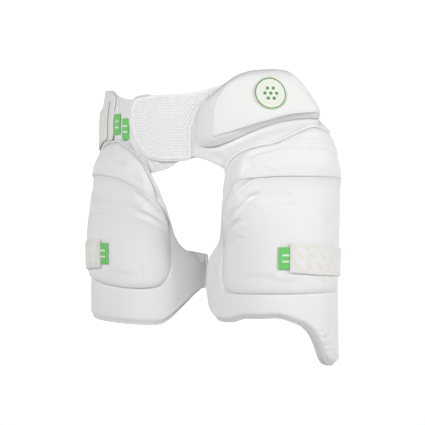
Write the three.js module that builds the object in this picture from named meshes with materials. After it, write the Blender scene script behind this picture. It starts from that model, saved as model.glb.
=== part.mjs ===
// A batting guard that protects both thighs and the leading hip, in the form that it takes when it is worn.
// Millimetres and degrees. +Z is up, the wearer faces -Y, and +X is the wearer's left, the leading leg.
// The origin is the centre of the waist opening, at the height where the belt sits on the hips.
import * as THREE from "three";

// The wearer that the guard closes round
const hipWidth = 356;
const hipDepth = 224;
const thighWidth = 160;
const thighGap = 39;
const thighForward = 10;
const crotchDrop = 110;

// Walls and clearances
const seamGap = 0.5;
const drapeGap = 0.95;
const quiltGap = 1.4;
const innerQuiltGap = 2.2;
const innerCrownGap = 4.2;
const skinGap = 1;
const waistPanelWall = 2.5;
const flapWall = 3.5;
const hipPanelWall = 3;
const backBeltWall = 2.5;
const hipPadWall = 15;
const faceWall = 1.4;
const badgeWall = 1.2;
const shellWall = 12;
const leadWingStandOff = 8;
const cushionWall = 8.5;
const webbingWall = 2.2;
const tagWall = 1.5;
const bindingWall = 4.6;
const bindingWidth = 4;

// Heights from the seat, up or down
const waistRise = 42;
const waistDrop = 54;
const panelDrop = 80;
const hipPadRise = 78;
const leadCrownDrop = 7;
const leadHemDrop = 297;
const tongueDrop = 360;
const trailCrownDrop = 26;
const trailHemDrop = 301;
const leadStrapDrop = 198;
const trailStrapDrop = 194;
const strapSlope = 28;
const strapWidth = 43;
const hipTabWidth = 58;
const tagWidth = 32;
const tagLength = 16;
const badgeWidth = 47;
const flapTagHeight = -6;
const hipTagHeight = 2;
const crownInset = 7;
const tabInset = 3;
const tagStep = 1;

// Widths over which the edges of the padded pieces are rounded off
const hipPadHem = { bottom: 15, top: 12, start: 24, end: 16 };
const shellHem = { bottom: 8, top: 8, start: 3, end: 12 };
const cushionHem = { bottom: 9, top: 4, start: 12, end: 12 };
const crownHem = { bottom: 2, top: 5, start: 12, end: 12 };

// Angles round the hips, from the front towards the wearer's left
const waistPanelStart = -104;
const waistPanelEnd = 4;
const flapStart = -32;
const flapBoundTo = -23;
const meshSeamFoot = 3;
const meshSeamHead = 22;
const hipPanelEnd = 76;
const backBeltStart = 76.3;
const backBeltEnd = 311;
const hipTabStart = 262;
const hipTabEnd = 307;
const hipPadStart = 4.5;
const hipPadEnd = 74;
const badgeAngle = 41;
const badgeHeight = 40;

// Angles round each thigh, from the front towards its outer side
const wingEnd = -108;
const strapRootAngle = -97;
const leadShellEnd = 118;
const trailShellEnd = 104;
const leadStrapTip = 31;
const trailStrapTip = 26;
const leadCrownStart = -22;
const trailCrownStart = -24;
const crownEndInset = 4;
const wingRun = 14;
const standOffStart = -42;
const standOffRun = 22;
const strapFrontRun = 50;
const strapRootRun = 30;
const strapGap = 0.9;
const quiltGapStart = -45;
const quiltGapRun = 60;
const fullTurn = 360;

// The widest steps between the points of a cloth panel, of the hip pad and of a thigh pad
const clothStep = 4;
const hipPadStep = 6;
const padStep = 8;

const radians = (degrees) => (degrees * Math.PI) / 180;
const mix = (a, b, share) => a + (b - a) * share;
const smooth = (share) => {
  const t = Math.min(1, Math.max(0, share));
  return t * t * (3 - 2 * t);
};

// A smooth curve through the rows of a table, without overshoot: named column against the first column.
function curve(rows, key, along = "angle") {
  const xs = rows.map((row) => row[along]);
  const ys = rows.map((row) => row[key]);
  const slopes = ys.slice(1).map((y, i) => (y - ys[i]) / (xs[i + 1] - xs[i]));
  const tangents = ys.map((_, i) => {
    const before = slopes[i - 1] ?? slopes[0];
    const after = slopes[i] ?? slopes[slopes.length - 1];
    return before * after <= 0 ? 0 : (2 * before * after) / (before + after);
  });
  return (x) => {
    const at = Math.min(xs[xs.length - 1], Math.max(xs[0], x));
    const i = Math.min(slopes.length - 1, Math.max(0, xs.findIndex((v) => v > at) - 1));
    const last = at >= xs[xs.length - 1];
    const k = last ? slopes.length - 1 : i;
    const span = xs[k + 1] - xs[k];
    const t = (at - xs[k]) / span;
    const [a, b] = [ys[k], ys[k + 1]];
    const [m, n] = [tangents[k] * span, tangents[k + 1] * span];
    return (
      a * (2 * t ** 3 - 3 * t ** 2 + 1) +
      m * (t ** 3 - 2 * t ** 2 + t) +
      b * (3 * t ** 2 - 2 * t ** 3) +
      n * (t ** 3 - t ** 2)
    );
  };
}

// The hips are an ellipse at each height, as shares of the hip's width and depth and of the crotch's drop.
const hipSections = [
  { height: -1, width: 0.97, depth: 0.95 },
  { height: -0.5, width: 1, depth: 1 },
  { height: 0, width: 1, depth: 1 },
  { height: 0.5, width: 0.96, depth: 0.96 },
  { height: 0.8, width: 0.92, depth: 0.92 },
];
const hipWide = curve(hipSections, "width", "height");
const hipDeep = curve(hipSections, "depth", "height");

// The thighs are round, as shares of the thigh's width and of the leading pad's hem.
const thighSections = [
  { height: -1.2, width: 1 },
  { height: -0.77, width: 0.99 },
  { height: -0.55, width: 1.01 },
  { height: -0.36, width: 1.04 },
  { height: -0.2, width: 1.08 },
];
const thighWide = curve(thighSections, "width", "height");

// A point on the hips at an angle and height, lifted off the skin along the outward normal.
function onHips(angle, height, lift) {
  const a = (hipWidth / 2) * hipWide(height / crotchDrop);
  const b = (hipDepth / 2) * hipDeep(height / crotchDrop);
  const [s, c] = [Math.sin(radians(angle)), -Math.cos(radians(angle))];
  const normal = new THREE.Vector2(s / a, c / b).normalize();
  return new THREE.Vector3(a * s + normal.x * lift, b * c + normal.y * lift, height);
}

// The share of the hips' shape at a height: none on the thigh, all of it above the fold of the groin
const groin = { foot: 1.75, run: 1.1 };
const groinShare = (height) => smooth((height / crotchDrop + groin.foot) / groin.run);

// The same on a thigh, which runs into the hips above the crotch.
// Side is 1 for the leading leg, -1 for the other.
const onThigh = (side) => (angle, height, lift) => {
  const [dx, dy] = [side * Math.sin(radians(angle)), -Math.cos(radians(angle))];
  const [cx, cy] = [(side * (thighWidth + thighGap)) / 2, -thighForward];
  const round = (thighWidth / 2) * thighWide(height / leadHemDrop) + lift;
  const a = (hipWidth / 2) * hipWide(height / crotchDrop) + lift;
  const b = (hipDepth / 2) * hipDeep(height / crotchDrop) + lift;
  const p = (dx / a) ** 2 + (dy / b) ** 2;
  const q = (cx * dx) / a ** 2 + (cy * dy) / b ** 2;
  const r = (cx / a) ** 2 + (cy / b) ** 2 - 1;
  const reach = (Math.sqrt(q * q - p * r) - q) / p;
  const share = groinShare(height);
  const distance = mix(round, reach, share);
  return new THREE.Vector3(cx + dx * distance, cy + dy * distance, height);
};

// How far a rounded edge has risen, at a distance in from it.
const risen = (distance, hem) => {
  const t = hem > 0 ? Math.min(1, Math.max(0, distance / hem)) : 1;
  return Math.sqrt(1 - (1 - t) ** 2);
};

// Shares along a span with a rounded edge at either end. Between the edges, the inside gives the shares
// from the room it has: where it starts and where it stops.
function steps(length, startHem, endHem, inside) {
  const close = (hem) => (hem > 0 ? [0.3, 1].map((part) => (part * hem) / length) : []);
  const start = [0, ...close(startHem)];
  const end = [0, ...close(endHem)].map((share) => 1 - share).reverse();
  return [...start, ...inside(start[start.length - 1], end[0]), ...end];
}

const even = (from, to, count) =>
  Array.from({ length: count + 1 }, (_, i) => mix(from, to, i / count));

// The angles of a table's rows, with more between them so that no step is wider than the widest
const fill = (rows, widest) =>
  rows.flatMap(({ angle }, i) => {
    if (i === 0) return [angle];
    const before = rows[i - 1].angle;
    return even(before, angle, Math.ceil((angle - before) / widest)).slice(1);
  });

const materials = {
  mesh: new THREE.MeshStandardMaterial({ color: 0xe9e9ea, roughness: 0.9, metalness: 0 }),
  lycra: new THREE.MeshStandardMaterial({ color: 0xececec, roughness: 0.75, metalness: 0 }),
  loop: new THREE.MeshStandardMaterial({ color: 0xdcdbe0, roughness: 0.95, metalness: 0 }),
  cream: new THREE.MeshStandardMaterial({ color: 0xeeeee8, roughness: 0.8, metalness: 0 }),
  webbing: new THREE.MeshStandardMaterial({ color: 0xe4e2de, roughness: 0.85, metalness: 0 }),
  binding: new THREE.MeshStandardMaterial({ color: 0xf6f6f4, roughness: 0.7, metalness: 0 }),
  green: new THREE.MeshStandardMaterial({ color: 0x6fd35a, roughness: 0.6, metalness: 0 }),
  badge: new THREE.MeshStandardMaterial({ color: 0xf2f6ee, roughness: 0.6, metalness: 0 }),
};

const guard = new THREE.Group();

const triangles = (quads) => quads.flatMap(([a, b, c, d]) => [a, b, c, a, c, d]);

// Adds a closed mesh from points and triangles, with its faces turned outwards.
function addSolid(name, material, points, index) {
  let volume = 0;
  for (let i = 0; i < index.length; i += 3) {
    const [a, b, c] = [points[index[i]], points[index[i + 1]], points[index[i + 2]]];
    volume += a.dot(b.clone().cross(c));
  }
  if (volume < 0) index.reverse();
  const geometry = new THREE.BufferGeometry().setFromPoints(points).setIndex(index);
  geometry.computeVertexNormals();
  const mesh = new THREE.Mesh(geometry, material);
  mesh.name = name;
  guard.add(mesh);
}

// The lift on one column of a panel's outer face, at a height
function liftOn({ heights, lifts }, height) {
  const next = heights.findIndex((h) => h > height);
  const i = next < 0 ? heights.length - 2 : Math.max(0, next - 1);
  const share = (height - heights[i]) / (heights[i + 1] - heights[i]);
  return mix(lifts[i], lifts[i + 1], Math.min(1, Math.max(0, share)));
}

// A panel of cloth or foam laid on the body. Its edges are heights against angle, and its walls are lifts.
// hem holds the width over which each edge of the outer face is rounded off.
// It gives back the lift of its outer face at an angle and height, for what lies on it.
function addPanel(name, material, options) {
  const { place, angles, bottom, top, under, wall, rows } = options;
  const hem = { bottom: 0, top: 0, start: 0, end: 0, ...options.hem };
  const underAt = typeof under === "function" ? under : () => under;
  const wallAt = typeof wall === "function" ? wall : () => wall;
  const rim = { outer: 0.58, inner: 0.4 };

  const [from, to] = [angles[0], angles[angles.length - 1]];
  const level = (bottom(from) + top(from) + bottom(to) + top(to)) / 4;
  const length = angles.slice(1).reduce((sum, angle, i) => {
    return sum + place(angles[i], level, 0).distanceTo(place(angle, level, 0));
  }, 0);
  const across = steps(length, hem.start, hem.end, (start, end) => {
    const room = (end - start) / (3 * angles.length);
    const shares = angles.map((angle) => (angle - from) / (to - from));
    return shares.filter((share) => share > start + room && share < end - room);
  });

  const outer = [];
  const inner = [];
  const grid = [];
  let rowCount = 0;
  for (const u of across) {
    const angle = mix(from, to, u);
    const fromStart = u * length;
    const fromEnd = (1 - u) * length;
    const [low, high] = [bottom(angle), top(angle)];
    const fits = Math.min(1, (high - low) / (2.5 * (hem.bottom + hem.top) + 1));
    const up = steps(high - low, hem.bottom * fits, hem.top * fits, (start, end) =>
      even(start, end, rows).slice(1, -1),
    );
    rowCount = up.length;
    const column = { angle, heights: [], lifts: [] };
    grid.push(column);
    for (const v of up) {
      const height = mix(low, high, v);
      const distances = [
        [(v * (high - low)), hem.bottom],
        [((1 - v) * (high - low)), hem.top],
        [fromStart, hem.start],
        [fromEnd, hem.end],
      ];
      const full = wallAt(angle, height);
      const rise = distances.reduce((share, [d, h]) => share * risen(d, h), 1);
      const tuck = distances.reduce((share, [d, h]) => share * risen(d, Math.min(h, full / 2)), 1);
      const floor = underAt(angle, height);
      column.heights.push(height);
      column.lifts.push(floor + full * mix(rim.outer, 1, rise));
      outer.push(place(angle, height, floor + full * mix(rim.outer, 1, rise)));
      inner.push(place(angle, height, floor + full * rim.inner * (1 - tuck)));
    }
  }

  const points = [...outer, ...inner];
  const quads = [];
  const id = (i, j) => i * rowCount + j;
  const back = outer.length;
  for (let i = 0; i < across.length - 1; i++)
    for (let j = 0; j < rowCount - 1; j++) {
      const ring = [id(i, j), id(i + 1, j), id(i + 1, j + 1), id(i, j + 1)];
      quads.push(ring, [...ring].reverse().map((k) => k + back));
    }
  const edges = [];
  for (let i = 0; i < across.length - 1; i++) {
    edges.push([id(i + 1, 0), id(i, 0)], [id(i, rowCount - 1), id(i + 1, rowCount - 1)]);
  }
  for (let j = 0; j < rowCount - 1; j++) {
    edges.push([id(0, j), id(0, j + 1)], [id(across.length - 1, j + 1), id(across.length - 1, j)]);
  }
  for (const [a, b] of edges) quads.push([a, b, b + back, a + back]);
  addSolid(name, material, points, triangles(quads));
  return (angle, height) => {
    const next = grid.findIndex((column) => column.angle > angle);
    const i = next < 0 ? grid.length - 2 : Math.max(0, next - 1);
    const [a, b] = [grid[i], grid[i + 1]];
    const share = Math.min(1, Math.max(0, (angle - a.angle) / (b.angle - a.angle)));
    return mix(liftOn(a, height), liftOn(b, height), share);
  };
}

// Binding tape round an edge, just outside it. The path holds angles and heights, with the panel on its left.
function addBinding(name, { place, path, under, wall }) {
  const flat = path.map(([angle, height]) => {
    const scale = place(angle, height, 0).distanceTo(place(angle + 1, height, 0));
    return { angle, height, scale };
  });
  const points = flat.flatMap(({ angle, height, scale }, i) => {
    const [a, b] = [flat[Math.max(0, i - 1)], flat[Math.min(flat.length - 1, i + 1)]];
    const run = new THREE.Vector2((b.angle - a.angle) * scale, b.height - a.height).normalize();
    const base = typeof under === "function" ? under(angle, height) : under;
    return [seamGap, seamGap + bindingWidth].flatMap((out) =>
      [base, base + wall].map((lift) =>
        place(angle + (run.y * out) / scale, height - run.x * out, lift),
      ),
    );
  });
  const quads = [];
  for (let i = 0; i < flat.length - 1; i++) {
    const [a, b] = [4 * i, 4 * i + 4];
    quads.push([a, a + 1, b + 1, b], [a + 1, a + 3, b + 3, b + 1]);
    quads.push([a + 3, a + 2, b + 2, b + 3], [a + 2, a, b, b + 2]);
  }
  const end = points.length - 4;
  quads.push([0, 2, 3, 1], [end, end + 1, end + 3, end + 2]);
  addSolid(name, materials.binding, points, triangles(quads));
}

// Lifts of the layers, from the skin out
const beltLayer = waistPanelWall + drapeGap;
const padLayer = beltLayer + Math.max(flapWall, hipPanelWall, backBeltWall) + drapeGap;
const hipPadLayer = beltLayer + hipPanelWall + seamGap;
const tabLayer = beltLayer + backBeltWall + drapeGap;

// The belt's outline, as shares of the waist's rise and drop. Heights above the seat are shares of the rise.
const beltEdges = [
  { angle: waistPanelStart, top: 1.3, bottom: 0.6 },
  { angle: -73, top: 1.4, bottom: 0.8 },
  { angle: -57, top: 1.36, bottom: 1.4 },
  { angle: -44, top: 1.05, bottom: 1.48 },
  { angle: -32, top: 0.93, bottom: 1.48 },
  { angle: -19, top: 1, bottom: 1.36 },
  { angle: -10, top: 1.01, bottom: 1.24 },
  { angle: -5, top: 1.01, bottom: 1.08 },
  { angle: 0, top: 1.03, bottom: 0.97 },
  { angle: 7, top: 1.12, bottom: 0.97 },
  { angle: meshSeamHead, top: 1.38, bottom: 1.5 },
];
const beltTopShare = curve(beltEdges, "top");
const beltBottomShare = curve(beltEdges, "bottom");
const beltTop = (angle) => waistRise * beltTopShare(angle);
const beltBottom = (angle) => -waistDrop * beltBottomShare(angle);

// The waist panel is the soft loop band under the flap, from the trailing hip to the front.
function addWaistPanel() {
  addPanel("waist_panel", materials.loop, {
    place: onHips,
    angles: even(waistPanelStart, waistPanelEnd, 17),
    bottom: beltBottom,
    top: (angle) => beltTop(angle) - seamGap,
    under: 0,
    wall: waistPanelWall,
    rows: 4,
  });
}

// The mesh flap that closes over it: a round tongue, and a point that runs up beside the hip pad.
const flapEdges = [
  { angle: flapStart, bottom: -0.4 },
  { angle: -31, bottom: 0.05 },
  { angle: -29, bottom: 0.36 },
  { angle: -24.5, bottom: 0.7 },
  { angle: -18.5, bottom: 0.92 },
  { angle: -10, bottom: 1.0 },
  { angle: meshSeamFoot, bottom: 0.97 },
];
const flapLow = curve(flapEdges, "bottom");
const meshSeam = [
  { angle: meshSeamFoot, height: -0.12 },
  { angle: 5.5, height: 0.34 },
  { angle: 11.5, height: 0.74 },
  { angle: 17, height: 1.02 },
  { angle: meshSeamHead, height: 1.32 },
];
const meshSeamHeight = curve(meshSeam, "height");
const flapCorner = 14;
const seamStep = 0.02;
const hipSeamStep = 0.3;
const hipSeamRun = 6;
const flapBottom = (angle) => {
  if (angle <= meshSeamFoot) return -waistDrop * flapLow(angle);
  return waistRise * meshSeamHeight(angle) + seamGap;
};
const flapTop = (angle) => {
  const scale = (hipWidth / 2) * radians(1);
  const near = (angle - flapStart) * scale;
  return beltTop(angle) - flapCorner * (1 - risen(near, flapCorner));
};

function addFlap() {
  addPanel("front_flap", materials.mesh, {
    place: onHips,
    angles: [
      ...fill(flapEdges, clothStep),
      meshSeamFoot + seamStep,
      ...fill(meshSeam, clothStep).slice(1),
    ],
    bottom: flapBottom,
    top: flapTop,
    under: beltLayer,
    wall: flapWall,
    rows: 4,
  });
  const angles = fill(flapEdges, clothStep);
  const bound = angles.filter((angle) => angle > flapStart && angle <= flapBoundTo).reverse();
  const upper = bound.map((angle) => [angle, flapTop(angle)]);
  const side = even(flapTop(flapStart), flapBottom(flapStart), 3).map((height) => [flapStart, height]);
  const lower = angles.slice(1).map((angle) => [angle, flapBottom(angle)]);
  const path = [...upper, ...side, ...lower];
  addBinding("flap_binding", { place: onHips, path, under: beltLayer, wall: bindingWall });
}

// The hip panel is the stretch cloth that carries the hip pad and runs down under the leading pad.
const hipPanelEdges = [
  { angle: meshSeamFoot, top: 0.1, bottom: 0.64 },
  { angle: 5.5, top: 0.15, bottom: 0.65 },
  { angle: 11.5, top: 0.25, bottom: 0.72 },
  { angle: 17, top: 0.45, bottom: 0.83 },
  { angle: meshSeamHead, top: 0.7, bottom: 0.95 },
  { angle: 28, top: 0.86, bottom: 1 },
  { angle: 35, top: 0.95, bottom: 1 },
  { angle: 46, top: 1, bottom: 1 },
  { angle: 54, top: 0.98, bottom: 1 },
  { angle: 60, top: 0.83, bottom: 1 },
  { angle: 66, top: 0.6, bottom: 0.95 },
  { angle: 72, top: 0.33, bottom: 0.9 },
  { angle: hipPanelEnd, top: 0.1, bottom: 0.85 },
];
const hipPanelTopShare = curve(hipPanelEdges, "top");
const hipPanelLow = curve(hipPanelEdges, "bottom");
const hipPanelTop = (angle) => {
  const seam = waistRise * meshSeamHeight(angle);
  const edge = hipPadRise * hipPanelTopShare(angle);
  const past = smooth((angle - meshSeamHead) / hipSeamRun);
  return angle < meshSeamHead ? seam : Math.max(edge, mix(seam, edge, past));
};

function addHipPanel() {
  addPanel("hip_panel", materials.lycra, {
    place: onHips,
    angles: fill(hipPanelEdges, clothStep).map((angle) => {
      return Math.max(angle, meshSeamFoot + hipSeamStep);
    }),
    bottom: (angle) => -panelDrop * hipPanelLow(angle),
    top: hipPanelTop,
    under: beltLayer,
    wall: hipPanelWall,
    rows: 5,
  });
}

// The hip pad is a thick block with sloping sides. Its foot and its flat cream face have the same D shape.
const hipPadEdges = [
  { angle: hipPadStart, bottom: -0.36, top: 0.12 },
  { angle: 8, bottom: -0.46, top: 0.34 },
  { angle: 12.5, bottom: -0.47, top: 0.5 },
  { angle: 19, bottom: -0.4, top: 0.72 },
  { angle: 27, bottom: -0.26, top: 0.88 },
  { angle: 35, bottom: -0.13, top: 0.93 },
  { angle: 46, bottom: 0.0, top: 0.92 },
  { angle: 54, bottom: 0.05, top: 0.83 },
  { angle: 60, bottom: 0.07, top: 0.7 },
  { angle: 66, bottom: 0.08, top: 0.5 },
  { angle: hipPadEnd, bottom: 0.09, top: 0.17 },
];
const hipFaceEdges = [
  { angle: 14, bottom: -0.29, top: 0.16 },
  { angle: 16.5, bottom: -0.26, top: 0.46 },
  { angle: 21, bottom: -0.21, top: 0.68 },
  { angle: 27, bottom: -0.13, top: 0.81 },
  { angle: 33.5, bottom: -0.05, top: 0.86 },
  { angle: 40.5, bottom: 0.03, top: 0.86 },
  { angle: 46, bottom: 0.09, top: 0.83 },
  { angle: 52.5, bottom: 0.14, top: 0.75 },
  { angle: 60, bottom: 0.17, top: 0.57 },
  { angle: 67, bottom: 0.19, top: 0.3 },
];
const onTable = (rows, key, size) => {
  const share = curve(rows, key);
  return (angle) => size * share(angle);
};

function addHipPad() {
  addPanel("hip_pad", materials.lycra, {
    place: onHips,
    angles: fill(hipPadEdges, hipPadStep),
    bottom: onTable(hipPadEdges, "bottom", hipPadRise),
    top: onTable(hipPadEdges, "top", hipPadRise),
    under: hipPadLayer,
    wall: hipPadWall,
    hem: hipPadHem,
    rows: 5,
  });
  addPanel("hip_pad_face", materials.cream, {
    place: onHips,
    angles: fill(hipFaceEdges, hipPadStep),
    bottom: onTable(hipFaceEdges, "bottom", hipPadRise),
    top: onTable(hipFaceEdges, "top", hipPadRise),
    under: hipPadLayer + hipPadWall + seamGap,
    wall: faceWall,
    rows: 3,
  });
}

// The round badge on the face: a disc that follows the curve of the hip.
function addBadge() {
  const under = hipPadLayer + hipPadWall + faceWall + 2 * seamGap;
  const middle = onHips(badgeAngle, badgeHeight, under);
  const scale = middle.distanceTo(onHips(badgeAngle + 1, badgeHeight, under));
  const sides = 24;
  const points = [under, under + badgeWall].flatMap((lift) => [
    onHips(badgeAngle, badgeHeight, lift),
    ...Array.from({ length: sides }, (_, i) => {
      const turn = (2 * Math.PI * i) / sides;
      const angle = badgeAngle + ((badgeWidth / 2) * Math.cos(turn)) / scale;
      return onHips(angle, badgeHeight + (badgeWidth / 2) * Math.sin(turn), lift);
    }),
  ]);
  const index = [];
  const upper = sides + 1;
  for (let i = 0; i < sides; i++) {
    const [a, b] = [1 + i, 1 + ((i + 1) % sides)];
    index.push(0, a, b, upper, upper + b, upper + a);
    index.push(a, upper + a, upper + b, a, upper + b, b);
  }
  addSolid("badge", materials.badge, points, index);
}

// The back belt runs from the leading hip round the back, and its bound end closes on the waist panel.
const backBeltEdges = [
  { angle: backBeltStart, top: 0.1, bottom: 0.95 },
  { angle: 95, top: -0.2, bottom: 1.05 },
  { angle: 130, top: 0.25, bottom: 1 },
  { angle: 180, top: 0.75, bottom: 0.8 },
  { angle: 250, top: 1.1, bottom: 0.72 },
  { angle: 287, top: 1.4, bottom: 0.68 },
  { angle: 303, top: 1.32, bottom: 0.46 },
  { angle: backBeltEnd, top: 1.12, bottom: 0.4 },
];
const backBeltTop = onTable(backBeltEdges, "top", waistRise);
const backBeltBottom = onTable(backBeltEdges, "bottom", -waistDrop);

function addBackBelt() {
  addPanel("back_belt", materials.webbing, {
    place: onHips,
    angles: even(backBeltStart, backBeltEnd, 40),
    bottom: backBeltBottom,
    top: backBeltTop,
    under: beltLayer,
    wall: backBeltWall,
    rows: 3,
  });
  const count = 5;
  addBinding("back_belt_binding", {
    place: onHips,
    path: Array.from({ length: count + 1 }, (_, i) => [
      backBeltEnd,
      mix(backBeltBottom(backBeltEnd), backBeltTop(backBeltEnd), i / count),
    ]),
    under: beltLayer,
    wall: backBeltWall,
  });
  const tabMiddle = (angle) => backBeltBottom(angle) + hipTabWidth / 2 + tabInset;
  addPanel("hip_tab", materials.webbing, {
    place: onHips,
    angles: even(hipTabStart, hipTabEnd, 8),
    bottom: (angle) => tabMiddle(angle) - hipTabWidth / 2,
    top: (angle) => tabMiddle(angle) + hipTabWidth / 2,
    under: tabLayer,
    wall: webbingWall,
    rows: 3,
  });
}

// A green pull tag: a short loop of flat tape, sewn to the end of a strap. Its angles run away from that end.
function addTag(name, { place, start, direction, middle, under }) {
  const scale = place(start, middle, under).distanceTo(place(start + 1, middle, under));
  const [near, far] = [start, start + (direction * tagLength) / scale];
  addPanel(name, materials.green, {
    place,
    angles: even(Math.min(near, far), Math.max(near, far), 2),
    bottom: () => middle - tagWidth / 2,
    top: () => middle + tagWidth / 2,
    under,
    wall: tagWall,
    rows: 2,
  });
}

// Outlines of the thigh pads, as shares of the pad's height: 0 at the crown's top and 1 at the hem.
// Angles run from the inner side of the leg, past its front, to the outer side.
const leadPad = {
  name: "lead",
  side: 1,
  layer: padLayer,
  standOff: leadWingStandOff,
  crown: leadCrownDrop,
  hem: leadHemDrop,
  end: leadShellEnd,
  crownStart: leadCrownStart,
  strapDrop: leadStrapDrop,
  outline: [
    { angle: wingEnd, top: 0.72, bottom: 0.86, wall: 0.8 },
    { angle: -90, top: 0.69, bottom: 0.865, wall: 0.85 },
    { angle: -72, top: 0.665, bottom: 0.93, wall: 0.9 },
    { angle: -54, top: 0.625, bottom: 0.98, wall: 0.95 },
    { angle: -43, top: 0.58, bottom: 0.997, wall: 1 },
    { angle: -33, top: 0.5, bottom: 1, wall: 1 },
    { angle: -27, top: 0.4, bottom: 0.997, wall: 1 },
    { angle: -21, top: 0.25, bottom: 0.99, wall: 1 },
    { angle: -17, top: 0.175, bottom: 0.98, wall: 1 },
    { angle: -9, top: 0.13, bottom: 0.97, wall: 1 },
    { angle: 3, top: 0.105, bottom: 0.965, wall: 1 },
    { angle: 20, top: 0.085, bottom: 0.96, wall: 1 },
    { angle: 37, top: 0.045, bottom: 0.985, wall: 1.05 },
    { angle: 52, top: 0.015, bottom: 1.02, wall: 1.15 },
    { angle: 64, top: 0, bottom: 1.06, wall: 1.32 },
    { angle: 81, top: 0.015, bottom: 1.06, wall: 1.35 },
    { angle: 92, top: 0.05, bottom: 1.06, wall: 1.3 },
    { angle: 105, top: 0.13, bottom: 1.04, wall: 1.1 },
    { angle: leadShellEnd, top: 0.28, bottom: 0.9, wall: 0.8 },
  ],
  tongue: [
    { angle: 46, drop: 0 },
    { angle: 56, drop: 0.1 },
    { angle: 64, drop: 0.38 },
    { angle: 69, drop: 0.72 },
    { angle: 76, drop: 0.93 },
    { angle: 88, drop: 1 },
    { angle: 100, drop: 0.93 },
    { angle: 110, drop: 0.66 },
    { angle: leadShellEnd, drop: 0.1 },
  ],
  cushion: [
    { angle: -37, top: 0.69, bottom: 0.75, wall: 0.9 },
    { angle: -34, top: 0.6, bottom: 0.81, wall: 1 },
    { angle: -29, top: 0.51, bottom: 0.833, wall: 1 },
    { angle: -22, top: 0.4, bottom: 0.838, wall: 1 },
    { angle: -15, top: 0.3, bottom: 0.838, wall: 1 },
    { angle: -7, top: 0.265, bottom: 0.838, wall: 1 },
    { angle: 6, top: 0.255, bottom: 0.838, wall: 1 },
    { angle: 37, top: 0.25, bottom: 0.838, wall: 0.95 },
    { angle: 64, top: 0.25, bottom: 0.838, wall: 0.7 },
    { angle: 108, top: 0.262, bottom: 0.838, wall: 0.6 },
  ],
};
const trailPad = {
  name: "trail",
  side: -1,
  layer: beltLayer,
  standOff: 0,
  crown: trailCrownDrop,
  hem: trailHemDrop,
  end: trailShellEnd,
  crownStart: trailCrownStart,
  strapDrop: trailStrapDrop,
  outline: [
    { angle: wingEnd, top: 0.69, bottom: 0.83, wall: 0.67 },
    { angle: -90, top: 0.66, bottom: 0.81, wall: 0.67 },
    { angle: -72, top: 0.617, bottom: 0.838, wall: 0.75 },
    { angle: -55, top: 0.573, bottom: 0.9, wall: 0.9 },
    { angle: -45, top: 0.511, bottom: 0.955, wall: 0.97 },
    { angle: -39, top: 0.434, bottom: 0.985, wall: 1 },
    { angle: -33, top: 0.338, bottom: 1, wall: 1 },
    { angle: -27, top: 0.24, bottom: 1, wall: 1 },
    { angle: -20, top: 0.15, bottom: 1, wall: 1 },
    { angle: -10, top: 0.084, bottom: 0.998, wall: 1 },
    { angle: 0, top: 0.037, bottom: 0.995, wall: 1 },
    { angle: 16, top: 0, bottom: 0.99, wall: 1 },
    { angle: 32, top: 0.004, bottom: 0.985, wall: 1 },
    { angle: 50, top: 0.03, bottom: 0.98, wall: 1 },
    { angle: 70, top: 0.08, bottom: 0.965, wall: 1 },
    { angle: 90, top: 0.14, bottom: 0.94, wall: 0.95 },
    { angle: trailShellEnd, top: 0.2, bottom: 0.88, wall: 0.8 },
  ],
  cushion: [
    { angle: -41, top: 0.58, bottom: 0.69, wall: 0.9 },
    { angle: -38, top: 0.48, bottom: 0.735, wall: 1 },
    { angle: -33, top: 0.39, bottom: 0.775, wall: 1 },
    { angle: -25, top: 0.315, bottom: 0.795, wall: 1 },
    { angle: -10, top: 0.243, bottom: 0.798, wall: 1 },
    { angle: 16, top: 0.19, bottom: 0.785, wall: 1 },
    { angle: 50, top: 0.172, bottom: 0.75, wall: 1 },
    { angle: 70, top: 0.18, bottom: 0.73, wall: 0.9 },
    { angle: 96, top: 0.21, bottom: 0.72, wall: 0.8 },
  ],
};

// Shares of a pad's height and walls: where the wing's stand-off fades out above the hem, and how walls thin
const hemShare = { from: 0.97, run: 0.2 };
const thin = { top: 0.5, crown: 0.25, rise: 0.7, start: 0.05, fall: 1.1 };

// Height at a share of a pad's depth below its crown
const padHeight = (pad, share) => -mix(pad.crown, pad.hem, share);

// A strap falls slowly from its tip round the outer side and the back to the inner wing.
const strapTurn = fullTurn + strapRootAngle;
const strapMiddle = (drop, tip) => (angle) =>
  -drop - (strapSlope * (angle - tip)) / (strapTurn - tip);

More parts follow.
